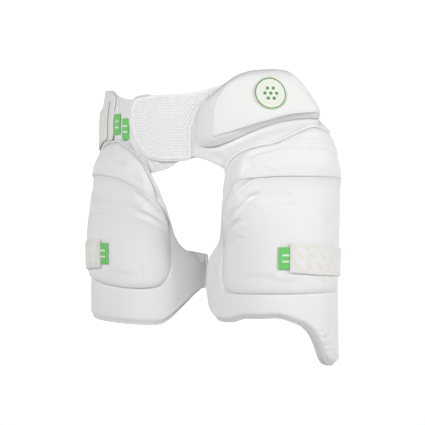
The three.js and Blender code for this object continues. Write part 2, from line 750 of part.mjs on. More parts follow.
function addPad(pad, strapTip) {
  const place = onThigh(pad.side);
  const topShare = curve(pad.outline, "top");
  const bottomShare = curve(pad.outline, "bottom");
  const reach = pad.tongue ? curve(pad.tongue, "drop") : () => 0;
  const level = strapMiddle(pad.strapDrop, strapTip);
  const onWing = (angle) => 1 - smooth((angle - wingEnd) / wingRun);
  const top = (angle) =>
    mix(padHeight(pad, topShare(angle)), level(angle + fullTurn) + strapWidth / 2, onWing(angle));
  const bottom = (angle) => {
    const hem = padHeight(pad, bottomShare(angle));
    const low = mix(hem, -tongueDrop, reach(angle));
    return mix(low, level(angle + fullTurn) - strapWidth / 2, onWing(angle));
  };
  const standOff = (angle, height) =>
    pad.standOff *
    smooth((standOffStart - angle) / standOffRun) *
    smooth((height / pad.hem + hemShare.from) / hemShare.run);
  const under = (angle, height) =>
    mix(skinGap, pad.layer, groinShare(height)) + standOff(angle, height);
  const wallShare = curve(pad.outline, "wall");
  const wall = (angle, height) => {
    const fall = (top(angle) - height) / (crotchDrop * thin.rise);
    return shellWall * wallShare(angle) * mix(thin.top, 1, smooth(fall + thin.start));
  };
  const shellTop = addPanel(`${pad.name}_shell`, materials.lycra, {
    place,
    angles: fill(pad.outline, padStep),
    bottom,
    top,
    under,
    wall,
    hem: shellHem,
    rows: 8,
  });
  const outerShare = (angle) => smooth((angle - quiltGapStart) / quiltGapRun);
  const onShell = (angle, height) =>
    shellTop(angle, height) + mix(innerQuiltGap, quiltGap, outerShare(angle));

  // The cushion is the thick panel on the front of the pad, and the crown fills the pad above it.
  const last = pad.cushion[pad.cushion.length - 1].angle;
  const raisedTop = curve(pad.cushion, "top");
  const raisedBottom = curve(pad.cushion, "bottom");
  const raisedWall = curve(pad.cushion, "wall");
  const cushionTop = addPanel(`${pad.name}_cushion`, materials.lycra, {
    place,
    angles: fill(pad.cushion, padStep),
    bottom: (angle) => padHeight(pad, raisedBottom(angle)),
    top: (angle) => padHeight(pad, raisedTop(angle)),
    under: onShell,
    wall: (angle) => cushionWall * raisedWall(angle),
    hem: cushionHem,
    rows: 7,
  });
  const crownEnd = last - crownEndInset;
  const crownWall = (angle, height) => {
    const fall = (top(angle) - height) / (top(angle) - padHeight(pad, raisedTop(angle)));
    return cushionWall * raisedWall(angle) * mix(thin.crown, 1, smooth(fall * thin.fall));
  };
  addPanel(`${pad.name}_crown`, materials.cream, {
    place,
    angles: [
      pad.crownStart,
      ...fill(pad.cushion, padStep).filter((angle) => {
        return angle > pad.crownStart + tagStep && angle < crownEnd - tagStep;
      }),
      crownEnd,
    ],
    bottom: (angle) =>
      padHeight(pad, raisedTop(angle)) + mix(innerCrownGap, drapeGap, outerShare(angle)),
    top: (angle) => top(angle) - crownInset,
    under: onShell,
    wall: crownWall,
    hem: crownHem,
    rows: 3,
  });
  addBinding(`${pad.name}_crown_binding`, {
    place,
    path: fill(pad.outline, padStep)
      .filter((angle) => angle >= leadCrownStart && angle < crownEnd)
      .map((angle) => [angle, top(angle)])
      .reverse(),
    under: (angle) => under(angle, top(angle)) + seamGap,
    wall: bindingWall,
  });

  // The strap leaves the wing, crosses the back of the leg and closes over the cushion.
  const overCushion = (angle) => {
    const [at, middle] = [Math.min(angle, crownEnd - crownEndInset), level(angle)];
    const across = [-0.5, -0.25, 0, 0.25, 0.5].map((share) => middle + share * strapWidth);
    return Math.max(...across.map((height) => cushionTop(at, height))) + strapGap;
  };
  const overWing =
    Math.max(
      ...[-0.3, 0, 0.3].map((share) => {
        return shellTop(strapRootAngle, level(strapTurn) + share * strapWidth);
      }),
    ) + drapeGap;
  const strapLift = (angle) => {
    const front = 1 - smooth((angle - pad.end + wingRun) / strapFrontRun);
    const inner = smooth((angle - strapTurn + strapFrontRun) / strapRootRun);
    return skinGap + (overCushion(angle) - skinGap) * front + (overWing - skinGap) * inner;
  };
  addPanel(`${pad.name}_strap`, materials.webbing, {
    place,
    angles: even(strapTip, strapTurn, 29),
    bottom: (angle) => level(angle) - strapWidth / 2,
    top: (angle) => level(angle) + strapWidth / 2,
    under: strapLift,
    wall: webbingWall,
    rows: 1,
  });
  addTag(`${pad.name}_strap_tag`, {
    place,
    start: strapTip - hipSeamStep,
    direction: -1,
    middle: level(strapTip),
    under: overCushion(strapTip),
  });
}

addWaistPanel();
addFlap();
addHipPanel();
addHipPad();
addBadge();
addBackBelt();
addTag("flap_tag", {
  place: onHips,
  start: flapStart - 2 * tagStep,
  direction: -1,
  middle: flapTagHeight,
  under: beltLayer,
});
addTag("hip_tag", {
  place: onHips,
  start: backBeltEnd - fullTurn + 2 * tagStep,
  direction: 1,
  middle: hipTagHeight,
  under: beltLayer,
});
addPad(leadPad, leadStrapTip);
addPad(trailPad, trailStrapTip);

export default guard;
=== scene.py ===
# A worn batting guard: a belt with a spacer-mesh flap and a hip pad, and two padded thigh guards.
# Shapes are worked out in millimetres on the wearer's hips and thighs, as the CAD model is,
# and turned to metres as each mesh is made.
import math
import bpy
import numpy as np
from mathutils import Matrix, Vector


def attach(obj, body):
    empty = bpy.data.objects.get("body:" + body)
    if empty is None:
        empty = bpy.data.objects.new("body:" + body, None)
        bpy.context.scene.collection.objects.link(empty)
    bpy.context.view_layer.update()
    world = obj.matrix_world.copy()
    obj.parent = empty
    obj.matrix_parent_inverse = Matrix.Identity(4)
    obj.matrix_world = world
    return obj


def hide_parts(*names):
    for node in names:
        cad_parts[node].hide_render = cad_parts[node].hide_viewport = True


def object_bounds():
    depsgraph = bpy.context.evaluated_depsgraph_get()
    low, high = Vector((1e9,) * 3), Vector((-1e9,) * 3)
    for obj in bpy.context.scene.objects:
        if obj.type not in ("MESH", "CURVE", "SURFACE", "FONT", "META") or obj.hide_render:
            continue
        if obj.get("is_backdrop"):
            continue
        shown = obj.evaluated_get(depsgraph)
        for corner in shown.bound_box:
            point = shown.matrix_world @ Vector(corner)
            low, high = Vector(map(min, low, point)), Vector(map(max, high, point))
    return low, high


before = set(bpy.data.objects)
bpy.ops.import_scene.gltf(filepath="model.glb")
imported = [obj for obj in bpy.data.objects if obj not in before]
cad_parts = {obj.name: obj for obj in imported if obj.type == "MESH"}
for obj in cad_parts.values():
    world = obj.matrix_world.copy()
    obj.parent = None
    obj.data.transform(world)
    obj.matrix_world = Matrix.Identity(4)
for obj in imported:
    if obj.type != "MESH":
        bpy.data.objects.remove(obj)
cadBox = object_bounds()
mm = 0.001
pi = math.pi

# The wearer that the guard closes round
wearer = {
    "hipWidth": 356,
    "hipDepth": 224,
    "thighWidth": 160,
    "thighGap": 39,
    "thighForward": 10,
    "crotchDrop": 110,
    "kneeSide": 297,  # how far down the leading thigh is measured
}

# The walls of the cloth, foam and tape, and the clearances between them
walls = {
    "seamGap": 0.5,
    "drapeGap": 0.95,
    "quiltGap": 1.4,
    "innerQuiltGap": 2.2,
    "skinGap": 1,
    "loopBand": 2.5,
    "mesh": 3.5,
    "stretch": 3,
    "belt": 2.5,
    "hipPad": 15,
    "face": 1.4,
    "badge": 1.2,
    "shell": 12,
    "cushion": 8.5,
    "webbing": 2.2,
    "tag": 1.5,
    "binding": 4.6,
    "bindingWidth": 4,
}
beltLift = walls["loopBand"] + walls["drapeGap"]
padLift = beltLift + walls["mesh"] + walls["drapeGap"]
hipPadLift = beltLift + walls["stretch"] + walls["seamGap"]
tabLift = beltLift + walls["belt"] + walls["drapeGap"]

# The photograph's camera: where it stands, and its picture's scale and centre in pixels
view = {
    "turn": math.radians(20),
    "distance": 2000,
    "height": -132,
    "pixel": 1.55,
    "centreX": 213.5,
    "centreY": 212.5,
    "picture": 425,
    "sensor": 36,
}


def mix(a, b, share):
    return a + (b - a) * share


def smooth(share):
    t = np.clip(share, 0, 1)
    return t * t * (3 - 2 * t)


def table(columns, *rows):
    return [dict(zip(columns.split(), row)) for row in rows]


def curve(rows, key, along="angle"):  # a smooth line through a table's rows, without overshoot
    xs = np.array([row[along] for row in rows], float)
    ys = np.array([row[key] for row in rows], float)
    slopes = np.diff(ys) / np.diff(xs)
    before = np.concatenate([slopes[:1], slopes])
    after = np.concatenate([slopes, slopes[-1:]])
    turns = before * after <= 0
    tangents = np.where(turns, 0, 2 * before * after / np.where(turns, 1, before + after))

    def at(x):
        x = np.clip(x, xs[0], xs[-1])
        k = np.clip(np.searchsorted(xs, x, side="right") - 1, 0, len(slopes) - 1)
        span = xs[k + 1] - xs[k]
        t = (x - xs[k]) / span
        ends = ys[k] * (2 * t**3 - 3 * t**2 + 1) + ys[k + 1] * (3 * t**2 - 2 * t**3)
        return ends + span * (tangents[k] * (t**3 - 2 * t**2 + t) + tangents[k + 1] * (t**3 - t**2))

    return at


# The body's surfaces: hips in ellipses, thighs in rings that run into the hips above the crotch
hipSections = table(
    "height width depth", (-1, 0.97, 0.95), (-0.5, 1, 1), (0, 1, 1), (0.5, 0.96, 0.96), (0.8, 0.92, 0.92)
)
thighSections = table("height width", (-1.2, 1), (-0.77, 0.99), (-0.55, 1.01), (-0.36, 1.04), (-0.2, 1.08))
hipWide = curve(hipSections, "width", "height")
hipDeep = curve(hipSections, "depth", "height")
thighWide = curve(thighSections, "width", "height")


def onHips(angle, height, lift):
    angle, height, lift = np.broadcast_arrays(np.radians(angle), height, lift)
    a = wearer["hipWidth"] / 2 * hipWide(height / wearer["crotchDrop"])
    b = wearer["hipDepth"] / 2 * hipDeep(height / wearer["crotchDrop"])
    s, c = np.sin(angle), -np.cos(angle)
    size = np.hypot(s / a, c / b)
    return np.stack([a * s + s / a / size * lift, b * c + c / b / size * lift, height * 1.0], -1)


def groinShare(height):  # none of the hips' shape on the thigh, all of it above the fold of the groin
    return smooth((height / wearer["crotchDrop"] + 1.75) / 1.1)


def onThigh(side):
    def at(angle, height, lift):
        angle, height, lift = np.broadcast_arrays(np.radians(angle), height, lift)
        dx, dy = side * np.sin(angle), -np.cos(angle)
        cx, cy = side * (wearer["thighWidth"] + wearer["thighGap"]) / 2, -wearer["thighForward"]
        ring = wearer["thighWidth"] / 2 * thighWide(height / wearer["kneeSide"]) + lift
        a = wearer["hipWidth"] / 2 * hipWide(height / wearer["crotchDrop"]) + lift
        b = wearer["hipDepth"] / 2 * hipDeep(height / wearer["crotchDrop"]) + lift
        p = (dx / a) ** 2 + (dy / b) ** 2
        q = cx * dx / a**2 + cy * dy / b**2
        r = (cx / a) ** 2 + (cy / b) ** 2 - 1
        reach = (np.sqrt(q * q - p * r) - q) / p
        out = mix(ring, reach, groinShare(height))
        return np.stack([cx + dx * out, cy + dy * out, height * 1.0], -1)

    return at


def toPhoto(points):  # where points in millimetres fall in the photograph, in pixels
    turn = view["turn"]
    across = points[..., 0] * math.cos(turn) + points[..., 1] * math.sin(turn)
    depth = view["distance"] - points[..., 0] * math.sin(turn) + points[..., 1] * math.cos(turn)
    focal = view["distance"] / view["pixel"] / depth
    return view["centreX"] + across * focal, view["centreY"] - (points[..., 2] - view["height"]) * focal


def nearLine(x, y, line):  # distance from a drawn line, and how far along it the nearest place is
    best = np.full(x.shape, 1e9)
    along = np.zeros(x.shape)
    count = len(line) - 1
    for k in range(count):
        (ax, ay), (bx, by) = line[k], line[k + 1]
        dx, dy = bx - ax, by - ay
        t = np.clip(((x - ax) * dx + (y - ay) * dy) / (dx * dx + dy * dy), 0, 1)
        off = np.hypot(x - ax - t * dx, y - ay - t * dy)
        along = np.where(off < best, (k + t) / count, along)
        best = np.minimum(best, off)
    return best, along


def bell(share):
    return np.exp(-(share**2))


def fold(line, depth, width):  # a soft crease in the cloth along pixels, with a swell on either side
    def at(x, y):
        off, along = nearLine(x, y, line)
        fade = smooth(along * 5) * smooth((1 - along) * 5)
        return depth * fade * (0.45 * bell((off - 1.9 * width) / (1.3 * width)) - bell(off / width))

    return at


def risen(distance, hem):  # how far a rounded edge has risen, at a distance in from it
    t = np.clip(distance / hem, 0, 1) if np.any(hem) else np.ones_like(distance)
    return np.sqrt(np.clip(1 - (1 - t) ** 2, 0, 1))


def shares(length, startHem, endHem, count):  # places along a span, closer together at a rounded edge
    close = np.array([0, 0.03, 0.1, 0.22, 0.4, 0.65])
    start = close * startHem / length if startHem else np.zeros(1)
    end = 1 - (close * endHem / length if endHem else np.zeros(1))[::-1]
    inner = np.linspace(startHem / length, 1 - endHem / length, count + 1)
    if not startHem:
        inner = inner[1:]
    if not endHem:
        inner = inner[:-1]
    return np.concatenate([start, inner, end])


def volume(points, faces):  # of a closed form, below zero where its faces point inwards
    corners = np.array([[f[0], f[k], f[k + 1]] for f in faces for k in range(1, len(f) - 1)])
    a, b, c = (points[corners[:, k]] for k in range(3))
    return float(np.sum(a * np.cross(b, c)))


def readAll(items, key, width):  # one value or place of every vertex or corner
    values = np.zeros(len(items) * width)
    items.foreach_get(key, values)
    return values.reshape(-1, width)


def smoothFaces(mesh):
    for face in mesh.polygons:
        face.use_smooth = True


def addObject(name, data):
    made = bpy.data.objects.new(name, data)
    bpy.context.scene.collection.objects.link(made)
    return made


def addMesh(name, points, faces, material, uv):  # points, and places on the cloth, in millimetres
    mesh = bpy.data.meshes.new(name)
    faces = [[int(k) for k in face] for face in faces]
    if volume(np.asarray(points), faces) < 0:
        faces = [face[::-1] for face in faces]
    mesh.from_pydata((np.asarray(points) * mm).tolist(), [], faces)
    smoothFaces(mesh)
    layer = mesh.uv_layers.new(name="cloth")
    index = np.zeros(len(mesh.loops), int)
    mesh.loops.foreach_get("vertex_index", index)
    layer.data.foreach_set("uv", (np.asarray(uv)[index] * mm).ravel())
    mesh.materials.append(material)
    return addObject(name, mesh)


def gridFaces(columns, rows, start=0, turned=False):
    i, j = np.meshgrid(np.arange(columns - 1), np.arange(rows - 1), indexing="ij")
    a = (start + i * rows + j).ravel()
    quads = np.stack([a, a + rows, a + rows + 1, a + 1], -1)
    return quads[:, ::-1] if turned else quads


def ringFaces(count, corners):  # between rings of points that close round
    ring = np.arange(corners)
    step = (ring + 1) % corners
    return [[int(i * corners + k) for k in quad] for i in range(count - 1)
            for quad in zip(ring, step, corners + step, corners + ring)]


def runAlong(points):  # the distance run at each of a row of points
    return np.concatenate([[0], np.cumsum(np.linalg.norm(np.diff(points, axis=0), axis=-1))])


def rimPath(columns, rows):  # the grid's outline, once round
    bottom = [i * rows for i in range(columns)]
    end = [(columns - 1) * rows + j for j in range(1, rows)]
    top = [i * rows + rows - 1 for i in range(columns - 2, -1, -1)]
    start = [j for j in range(rows - 2, 0, -1)]
    return bottom + end + top + start


plainEdges = {"bottom": 0, "top": 0, "start": 0, "end": 0}
plainKeep = {"bottom": 0.58, "top": 0.58, "start": 0.58, "end": 0.58, "least": 0.45, "soft": ""}


def evenHem(size):
    return {side: size for side in plainEdges}


class Panel:  # a closed panel of cloth or foam on the body, whose wall rounds off along its hems
    def __init__(self, place, span, bottom, top, under, wall, hem=None, keep=None):
        self.place, self.bottom, self.top = place, bottom, top
        self.under = under if callable(under) else lambda angle, height: under + 0 * angle
        self.wall = wall if callable(wall) else lambda angle, height: wall + 0 * angle
        self.hem = {**plainEdges, **(hem or {})}
        self.keep = {**plainKeep, **(keep or {})}
        self.angles = np.linspace(*span, 200)
        level = (bottom(span[0]) + top(span[0]) + bottom(span[1]) + top(span[1])) / 4
        self.run = runAlong(place(self.angles, level, 0))
        self.length = self.run[-1]

    def edges(self, angle, height):  # distances in from each edge
        run = np.interp(angle, self.angles, self.run)
        return {
            "bottom": height - self.bottom(angle),
            "top": self.top(angle) - height,
            "start": run,
            "end": self.length - run,
        }

    def outer(self, angle, height):  # the lift of the outer face
        loss = 0.0
        for side, distance in self.edges(angle, height).items():
            keep, hem = self.keep[side], self.hem[side]
            keep = keep(angle) if callable(keep) else keep
            rise = smooth(distance / hem) if side in self.keep["soft"] else risen(distance, hem)
            loss = loss + ((1 - keep) * (1 - rise)) ** 2
        share = 1 - np.minimum(np.sqrt(loss), 1 - self.keep["least"])
        return self.under(angle, height) + self.wall(angle, height) * share

    def inner(self, angle, height):
        full = self.wall(angle, height)
        tuck = 1.0
        for side, distance in self.edges(angle, height).items():
            if self.hem[side]:
                tuck = tuck * risen(distance, np.minimum(self.hem[side], full / 2))
        return self.under(angle, height) + full * 0.4 * (1 - tuck)

    def build(self, name, material, across, up, detail=None):
        hem = self.hem
        u = shares(self.length, hem["start"], hem["end"], across)
        angle = np.interp(u * self.length, self.run, self.angles)
        low, high = self.bottom(angle), self.top(angle)
        tall = float(np.mean(high - low))
        v = shares(tall, hem["bottom"], hem["top"], up)
        a = np.repeat(angle[:, None], len(v), 1)
        h = mix(low[:, None], high[:, None], v[None, :])
        near = np.minimum.reduce(list(self.edges(a, h).values()))
        lift = self.outer(a, h)
        if detail:
            x, y = toPhoto(self.place(a, h, lift))
            lift = lift + detail(a, h, x, y) * smooth(near / 6)
        columns, rows = a.shape
        outer = self.place(a, h, lift).reshape(-1, 3)
        inner = self.place(a, h, np.minimum(self.inner(a, h), lift - 0.3)).reshape(-1, 3)
        rim = rimPath(columns, rows)
        back = len(outer)
        sides = [[m, k, k + back, m + back] for k, m in zip(rim, rim[1:] + rim[:1])]
        faces = [*gridFaces(columns, rows), *gridFaces(columns, rows, back, True), *sides]
        flat = np.stack([np.repeat((u * self.length)[:, None], rows, 1), h], -1).reshape(-1, 2)
        piece = addMesh(name, [*outer, *inner], faces, material, [*flat, *flat])
        wear = piece.data.attributes.new("edge", "FLOAT", "POINT")
        wear.data.foreach_set("value", np.tile(np.exp(-near.ravel() / 5), 2))
        self.grid = {"angle": a, "height": h, "near": near, "columns": columns, "rows": rows}
        return piece


def puff(piece, panel, settings, room=None):  # cloth simulation: the outer face swells between its sewn edges
    mesh = piece.data
    near = panel.grid["near"].ravel()
    count = len(near)
    held = piece.vertex_groups.new(name="sewn")
    for k in range(2 * count):
        loose = smooth((near[k] - settings["sewn"]) / settings["ease"]) if k < count else 0
        held.add([k], float(1 - loose), "REPLACE")
    before = readAll(mesh.vertices, "co", 3)
    cloth = piece.modifiers.new("cloth", "CLOTH")
    cloth.settings.quality = 6
    cloth.settings.mass = 0.15
    cloth.settings.tension_stiffness = 12
    cloth.settings.compression_stiffness = 12
    cloth.settings.bending_stiffness = settings["stiff"]
    cloth.settings.use_pressure = True
    cloth.settings.uniform_pressure_force = settings["pressure"]
    cloth.settings.shrink_min = -settings["spare"]
    cloth.settings.vertex_group_mass = "sewn"
    cloth.settings.effector_weights.gravity = 0
    cloth.collision_settings.use_collision = False
    cloth.point_cache.frame_end = settings["frames"]
    for moment in range(1, settings["frames"] + 1):
        bpy.context.scene.frame_set(moment)
    seen = piece.evaluated_get(bpy.context.evaluated_depsgraph_get())
    after = readAll(seen.data.vertices, "co", 3)
    piece.modifiers.remove(cloth)
    bpy.context.scene.frame_set(1)
    move = np.nan_to_num(after - before)
    angle, height = panel.grid["angle"], panel.grid["height"]
    up = (panel.place(angle, height, 1.0) - panel.place(angle, height, 0.0)).reshape(-1, 3)
    up = up / np.linalg.norm(up, axis=-1, keepdims=True)
    rise = np.sum(move[:count] * up, -1)
    slide = move[:count] - rise[:, None] * up
    cap = settings["cap"] if room is None else room(angle, height).ravel()
    tight = np.clip(rise, -settings["sink"] * mm, cap * mm)
    slid = np.maximum(np.linalg.norm(slide, axis=-1, keepdims=True), 1e-9)
    slide *= np.minimum(1, settings["cap"] * mm / slid)
    moved = (tight[:, None] * up + 0.5 * slide).reshape(panel.grid["columns"], panel.grid["rows"], 3)
    for _ in range(settings["calm"]):
        moved[1:-1, 1:-1] = (moved[:-2, 1:-1] + moved[2:, 1:-1] + moved[1:-1, :-2] + moved[1:-1, 2:]) / 4
    before[:count] += moved.reshape(-1, 3)
    mesh.vertices.foreach_set("co", before.ravel())
    mesh.update()
    print(f"{piece.name} swells by {rise.max() / mm:.1f} mm, held to {settings['cap']} mm")


def convert(piece, modifier):  # the evaluated result as a plain mesh
    bpy.context.view_layer.update()
    seen = piece.evaluated_get(bpy.context.evaluated_depsgraph_get())
    mesh = bpy.data.meshes.new_from_object(seen)
    piece.modifiers.remove(modifier)
    old, piece.data = piece.data, mesh
    bpy.data.meshes.remove(old)
    mesh.name = piece.name


def refine(piece):  # one finer step of subdivision, applied
    modifier = piece.modifiers.new("finer", "SUBSURF")
    modifier.levels = modifier.render_levels = 1
    modifier.boundary_smooth = "PRESERVE_CORNERS"
    convert(piece, modifier)


def crease(piece, folds):  # drawn on a finished piece where it faces the photograph's camera
    mesh = piece.data
    points = readAll(mesh.vertices, "co", 3) / mm
    normals = readAll(mesh.vertex_normals, "vector", 3)
    eye = np.array([math.sin(view["turn"]), -math.cos(view["turn"]), 0]) * view["distance"]
    toward = eye + [0, 0, view["height"]] - points
    facing = np.sum(normals * toward, -1) / np.linalg.norm(toward, axis=-1)
    x, y = toPhoto(points)
    depth = sum(f(x, y) for f in folds) * smooth((facing - 0.05) / 0.25)
    mesh.vertices.foreach_set("co", ((points + normals * depth[:, None]) * mm).ravel())
    mesh.update()


def dress(piece, slot, *nodes):
    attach(piece, "root")
    if nodes:
        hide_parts(*nodes)


def joins(operation, turned=False):  # a method that joins a wire to another wire or a number
    def at(self, other):
        return self.maths(operation, other, self) if turned else self.maths(operation, self, other)

    return at


class Wire:  # one socket of a finish, with arithmetic
    def __init__(self, finish, socket):
        self.finish, self.socket = finish, socket

    def maths(self, operation, *values):
        return self.finish.node("Math", {"operation": operation}, dict(enumerate(values)))

    __add__ = __radd__ = joins("ADD")
    __sub__ = joins("SUBTRACT")
    __rsub__ = joins("SUBTRACT", turned=True)
    __mul__ = joins("MULTIPLY")
    __truediv__ = joins("DIVIDE")
    __lt__ = joins("LESS_THAN")
    __gt__ = joins("GREATER_THAN")
    power = joins("POWER")
    lesser = joins("MINIMUM")
    greater = joins("MAXIMUM")

    def wave(self, pitch):  # a smooth ripple from 0 to 1, once in each pitch
        return self.maths("SINE", self * (2 * pi / pitch)) * 0.5 + 0.5

    def size(self):
        return self.maths("ABSOLUTE", self)

    def part(self):
        return self.maths("FRACT", self)

    def step(self, start, end):  # 0 before start and 1 after end, smooth between
        settings = {"interpolation_type": "SMOOTHSTEP", "clamp": True}
        return self.finish.node("MapRange", settings, {0: self, 1: start, 2: end})


class Finish:  # a material, made of nodes
    def __init__(self, name, roughness, sheen=0.0, soft=0.5):
        self.material = bpy.data.materials.new(name)
        self.material.use_nodes = True
        self.tree = self.material.node_tree
        self.tree.nodes.clear()
        shader = self.tree.nodes.new("ShaderNodeBsdfPrincipled")
        output = self.tree.nodes.new("ShaderNodeOutputMaterial")
        self.tree.links.new(shader.outputs[0], output.inputs[0])
        self.shader = shader.inputs
        self.shader["Roughness"].default_value = roughness
        self.shader["Sheen Weight"].default_value = sheen
        self.shader["Sheen Roughness"].default_value = soft
        self.shader["Specular IOR Level"].default_value = 0.35

    def give(self, socket, value):
        if isinstance(value, Wire):
            self.tree.links.new(value.socket, socket)
        else:
            socket.default_value = value

    def node(self, kind, settings=None, sockets=None, output=0):
        made = self.tree.nodes.new("ShaderNode" + kind)
        for key, value in (settings or {}).items():
            setattr(made, key, value)
        for key, value in (sockets or {}).items():
            self.give(made.inputs[key], value)
        return Wire(self, made.outputs[output])

    def cloth(self):  # places along and up the cloth, in metres
        uv = self.node("UVMap", {"uv_map": "cloth"})
        parts = self.tree.nodes.new("ShaderNodeSeparateXYZ")
        self.give(parts.inputs[0], uv)
        return Wire(self, parts.outputs[0]), Wire(self, parts.outputs[1])

    def noise(self, scale, detail=2.0, rough=0.5):
        place = self.node("TexCoord", output="Object")
        sockets = {"Vector": place, "Scale": scale, "Detail": detail, "Roughness": rough}
        return self.node("TexNoise", None, sockets)

    def worn(self):  # 1 at the cloth's edges, falling off inwards
        return self.node("Attribute", {"attribute_name": "edge"}, output="Fac")

    def blend(self, share, a, b):
        return self.node("Mix", {"data_type": "RGBA"}, {0: share, 6: a, 7: b}, output=2)

    def finish(self, colour, height, depth, strength, roughness=None):
        self.give(self.shader["Base Color"], colour)
        if roughness is not None:
            self.give(self.shader["Roughness"], roughness)
        bump = self.node("Bump", None, {"Strength": strength, "Distance": depth, "Height": height})
        self.give(self.shader["Normal"], bump)
        return self.material


def tone(red, green, blue):
    return (red, green, blue, 1.0)


# Stretch cloth: a fine warp knit over foam
stretchCloth = {
    "pitch": 0.0011,
    "fresh": tone(0.84, 0.84, 0.84),
    "used": tone(0.66, 0.655, 0.65),
    "bump": 0.00012,
}


def makeStretch():
    s = stretchCloth
    cloth = Finish("stretch_cloth", 0.62, sheen=0.25)
    u, v = cloth.cloth()
    loop = u.wave(s["pitch"]) * 0.6 + (v + u * 0.5).wave(s["pitch"] * 0.8) * 0.4
    grain = cloth.noise(60, 4)
    stain = cloth.noise(9, 3)
    dirt = (cloth.worn() * 0.75 + stain.step(0.5, 0.75) * 0.15) * (0.5 + grain)
    colour = cloth.blend(dirt.lesser(1), s["fresh"], s["used"])
    colour = cloth.blend(loop * 0.06, colour, s["used"])
    return cloth.finish(colour, loop + grain * 0.6, s["bump"], 0.6, 0.55 + loop * 0.12 + stain * 0.08)


# Spacer mesh: white net over a greyer ground, whose pit floors are painted darker, partly for the spacer
# yarns seen through the holes and partly as painted shade in the pits
netCloth = {"fresh": tone(0.95, 0.95, 0.95), "groundAndShade": tone(0.80, 0.80, 0.81), "bump": 0.00008}


def makeNet():
    s = netCloth
    cloth = Finish("spacer_mesh", 0.6, sheen=0.2)
    thread = cloth.noise(900, 2)
    sunk = cloth.node("Attribute", {"attribute_name": "sunk"}, output="Fac")
    # the pit floors take the darker tone: the spacer yarns beneath, and painted shade in the pits
    colour = cloth.blend(sunk, s["fresh"], s["groundAndShade"])
    colour = cloth.blend(thread * 0.12, colour, s["groundAndShade"])
    return cloth.finish(colour, thread, s["bump"], 0.7, 0.55 + thread * 0.15)


# Loop cloth: the soft, napped side of the fastening
loopCloth = {"fresh": tone(0.87, 0.87, 0.88), "shade": tone(0.74, 0.74, 0.76), "fuzz": 700, "bump": 0.0005}


def makeLoop():
    s = loopCloth
    cloth = Finish("loop_cloth", 0.92, sheen=0.6, soft=0.7)
    fuzz = cloth.noise(s["fuzz"], 3, 0.7)
    nap = cloth.noise(35, 3)
    colour = cloth.blend((fuzz * 0.6 + nap * 0.5 - 0.15).lesser(1), s["fresh"], s["shade"])
    return cloth.finish(colour, fuzz + nap * 0.8, s["bump"], 0.8, 0.85 + fuzz * 0.12)


# Cream cloth: a close, smooth weave, a little warmer than the rest
creamCloth = {
    "pitch": 0.0008,
    "fresh": tone(0.845, 0.845, 0.832),
    "used": tone(0.77, 0.765, 0.745),
    "bump": 0.00008,
}


def makeCream():
    s = creamCloth
    cloth = Finish("cream_cloth", 0.55, sheen=0.2)
    u, v = cloth.cloth()
    weave = u.wave(s["pitch"]) * v.wave(s["pitch"])
    grain = cloth.noise(45, 4)
    dirt = cloth.worn() * 0.35 + cloth.noise(8, 3).step(0.5, 0.8) * 0.3
    colour = cloth.blend(dirt * (0.5 + grain), s["fresh"], s["used"])
    colour = cloth.blend(weave * 0.06, colour, s["used"])
    return cloth.finish(colour, weave + grain * 0.5, s["bump"], 0.6, 0.5 + grain * 0.14)


# Webbing: ribs across a broad tape, with a faint print of slanting dashes and painted shade in the valleys
# between its ribs
webbingTape = {
    "rib": 0.0017,
    "yarn": 0.0011,
    "fresh": tone(0.88, 0.87, 0.86),
    "valley": tone(0.72, 0.71, 0.70),
    "print": tone(0.80, 0.74, 0.54),
    "dash": 0.0145,
    "dashStart": 0.0005,
    "bump": 0.0003,
}


def makeWebbing(name="webbing", printed=True):
    s = webbingTape
    tape = Finish(name, 0.7, sheen=0.15)
    u, v = tape.cloth()
    rib = v.wave(s["rib"])
    yarn = (u + v * 0.6).wave(s["yarn"])
    height = rib * 0.7 + yarn * 0.3
    grain = tape.noise(80, 3)
    # painted shade: the tape is darker in the valleys between its ribs, where the bump is low, with random
    # grain
    colour = tape.blend((1 - height) * 0.3 + grain * 0.08, s["fresh"], s["valley"])
    if printed:
        row = (v - s["dashStart"]) / s["dash"]
        slant = ((u + v * 0.7) / s["dash"]).part()
        dash = (slant > 0.3) * (slant < 0.62) * (row.part() > 0.18) * (row.part() < 0.82)
        colour = tape.blend(dash * (0.25 + grain * 0.5), colour, s["print"])
    # the worn edges take the same darker tone as real wear
    colour = tape.blend(tape.worn() * 0.3, colour, s["valley"])
    return tape.finish(colour, height, s["bump"], 0.7, 0.62 + height * 0.15)


# Binding tape: a narrow folded tape, ribbed along its length, with painted shade in its rib valleys
bindingTape = {
    "rib": 0.0008,
    "fresh": tone(0.90, 0.90, 0.89),
    "valley": tone(0.76, 0.76, 0.75),
    "bump": 0.0002,
}


def makeBinding():
    s = bindingTape
    tape = Finish("binding_tape", 0.6, sheen=0.15)
    u, v = tape.cloth()
    rib = v.wave(s["rib"]) * 0.6 + u.wave(s["rib"] * 1.6) * 0.4
    grain = tape.noise(120, 3)
    # painted shade: the tape is darker in the valleys between its ribs, with random grain
    colour = tape.blend((1 - rib) * 0.25 + grain * 0.12, s["fresh"], s["valley"])
    return tape.finish(colour, rib, s["bump"], 0.6, 0.55 + grain * 0.12)


# Green tape: satin ribbon for the pull tags, with two plain white bars and painted shade in its rib valleys
greenTape = {
    "fresh": tone(0.20, 0.66, 0.18),
    "deep": tone(0.13, 0.52, 0.12),
    "bar": tone(0.86, 0.93, 0.84),
    "barOff": 0.0045,
    "barHalf": 0.0013,
    "barMiddle": 0.0085,
    "barReach": 0.0042,
    "rib": 0.0009,
    "bump": 0.0002,
}


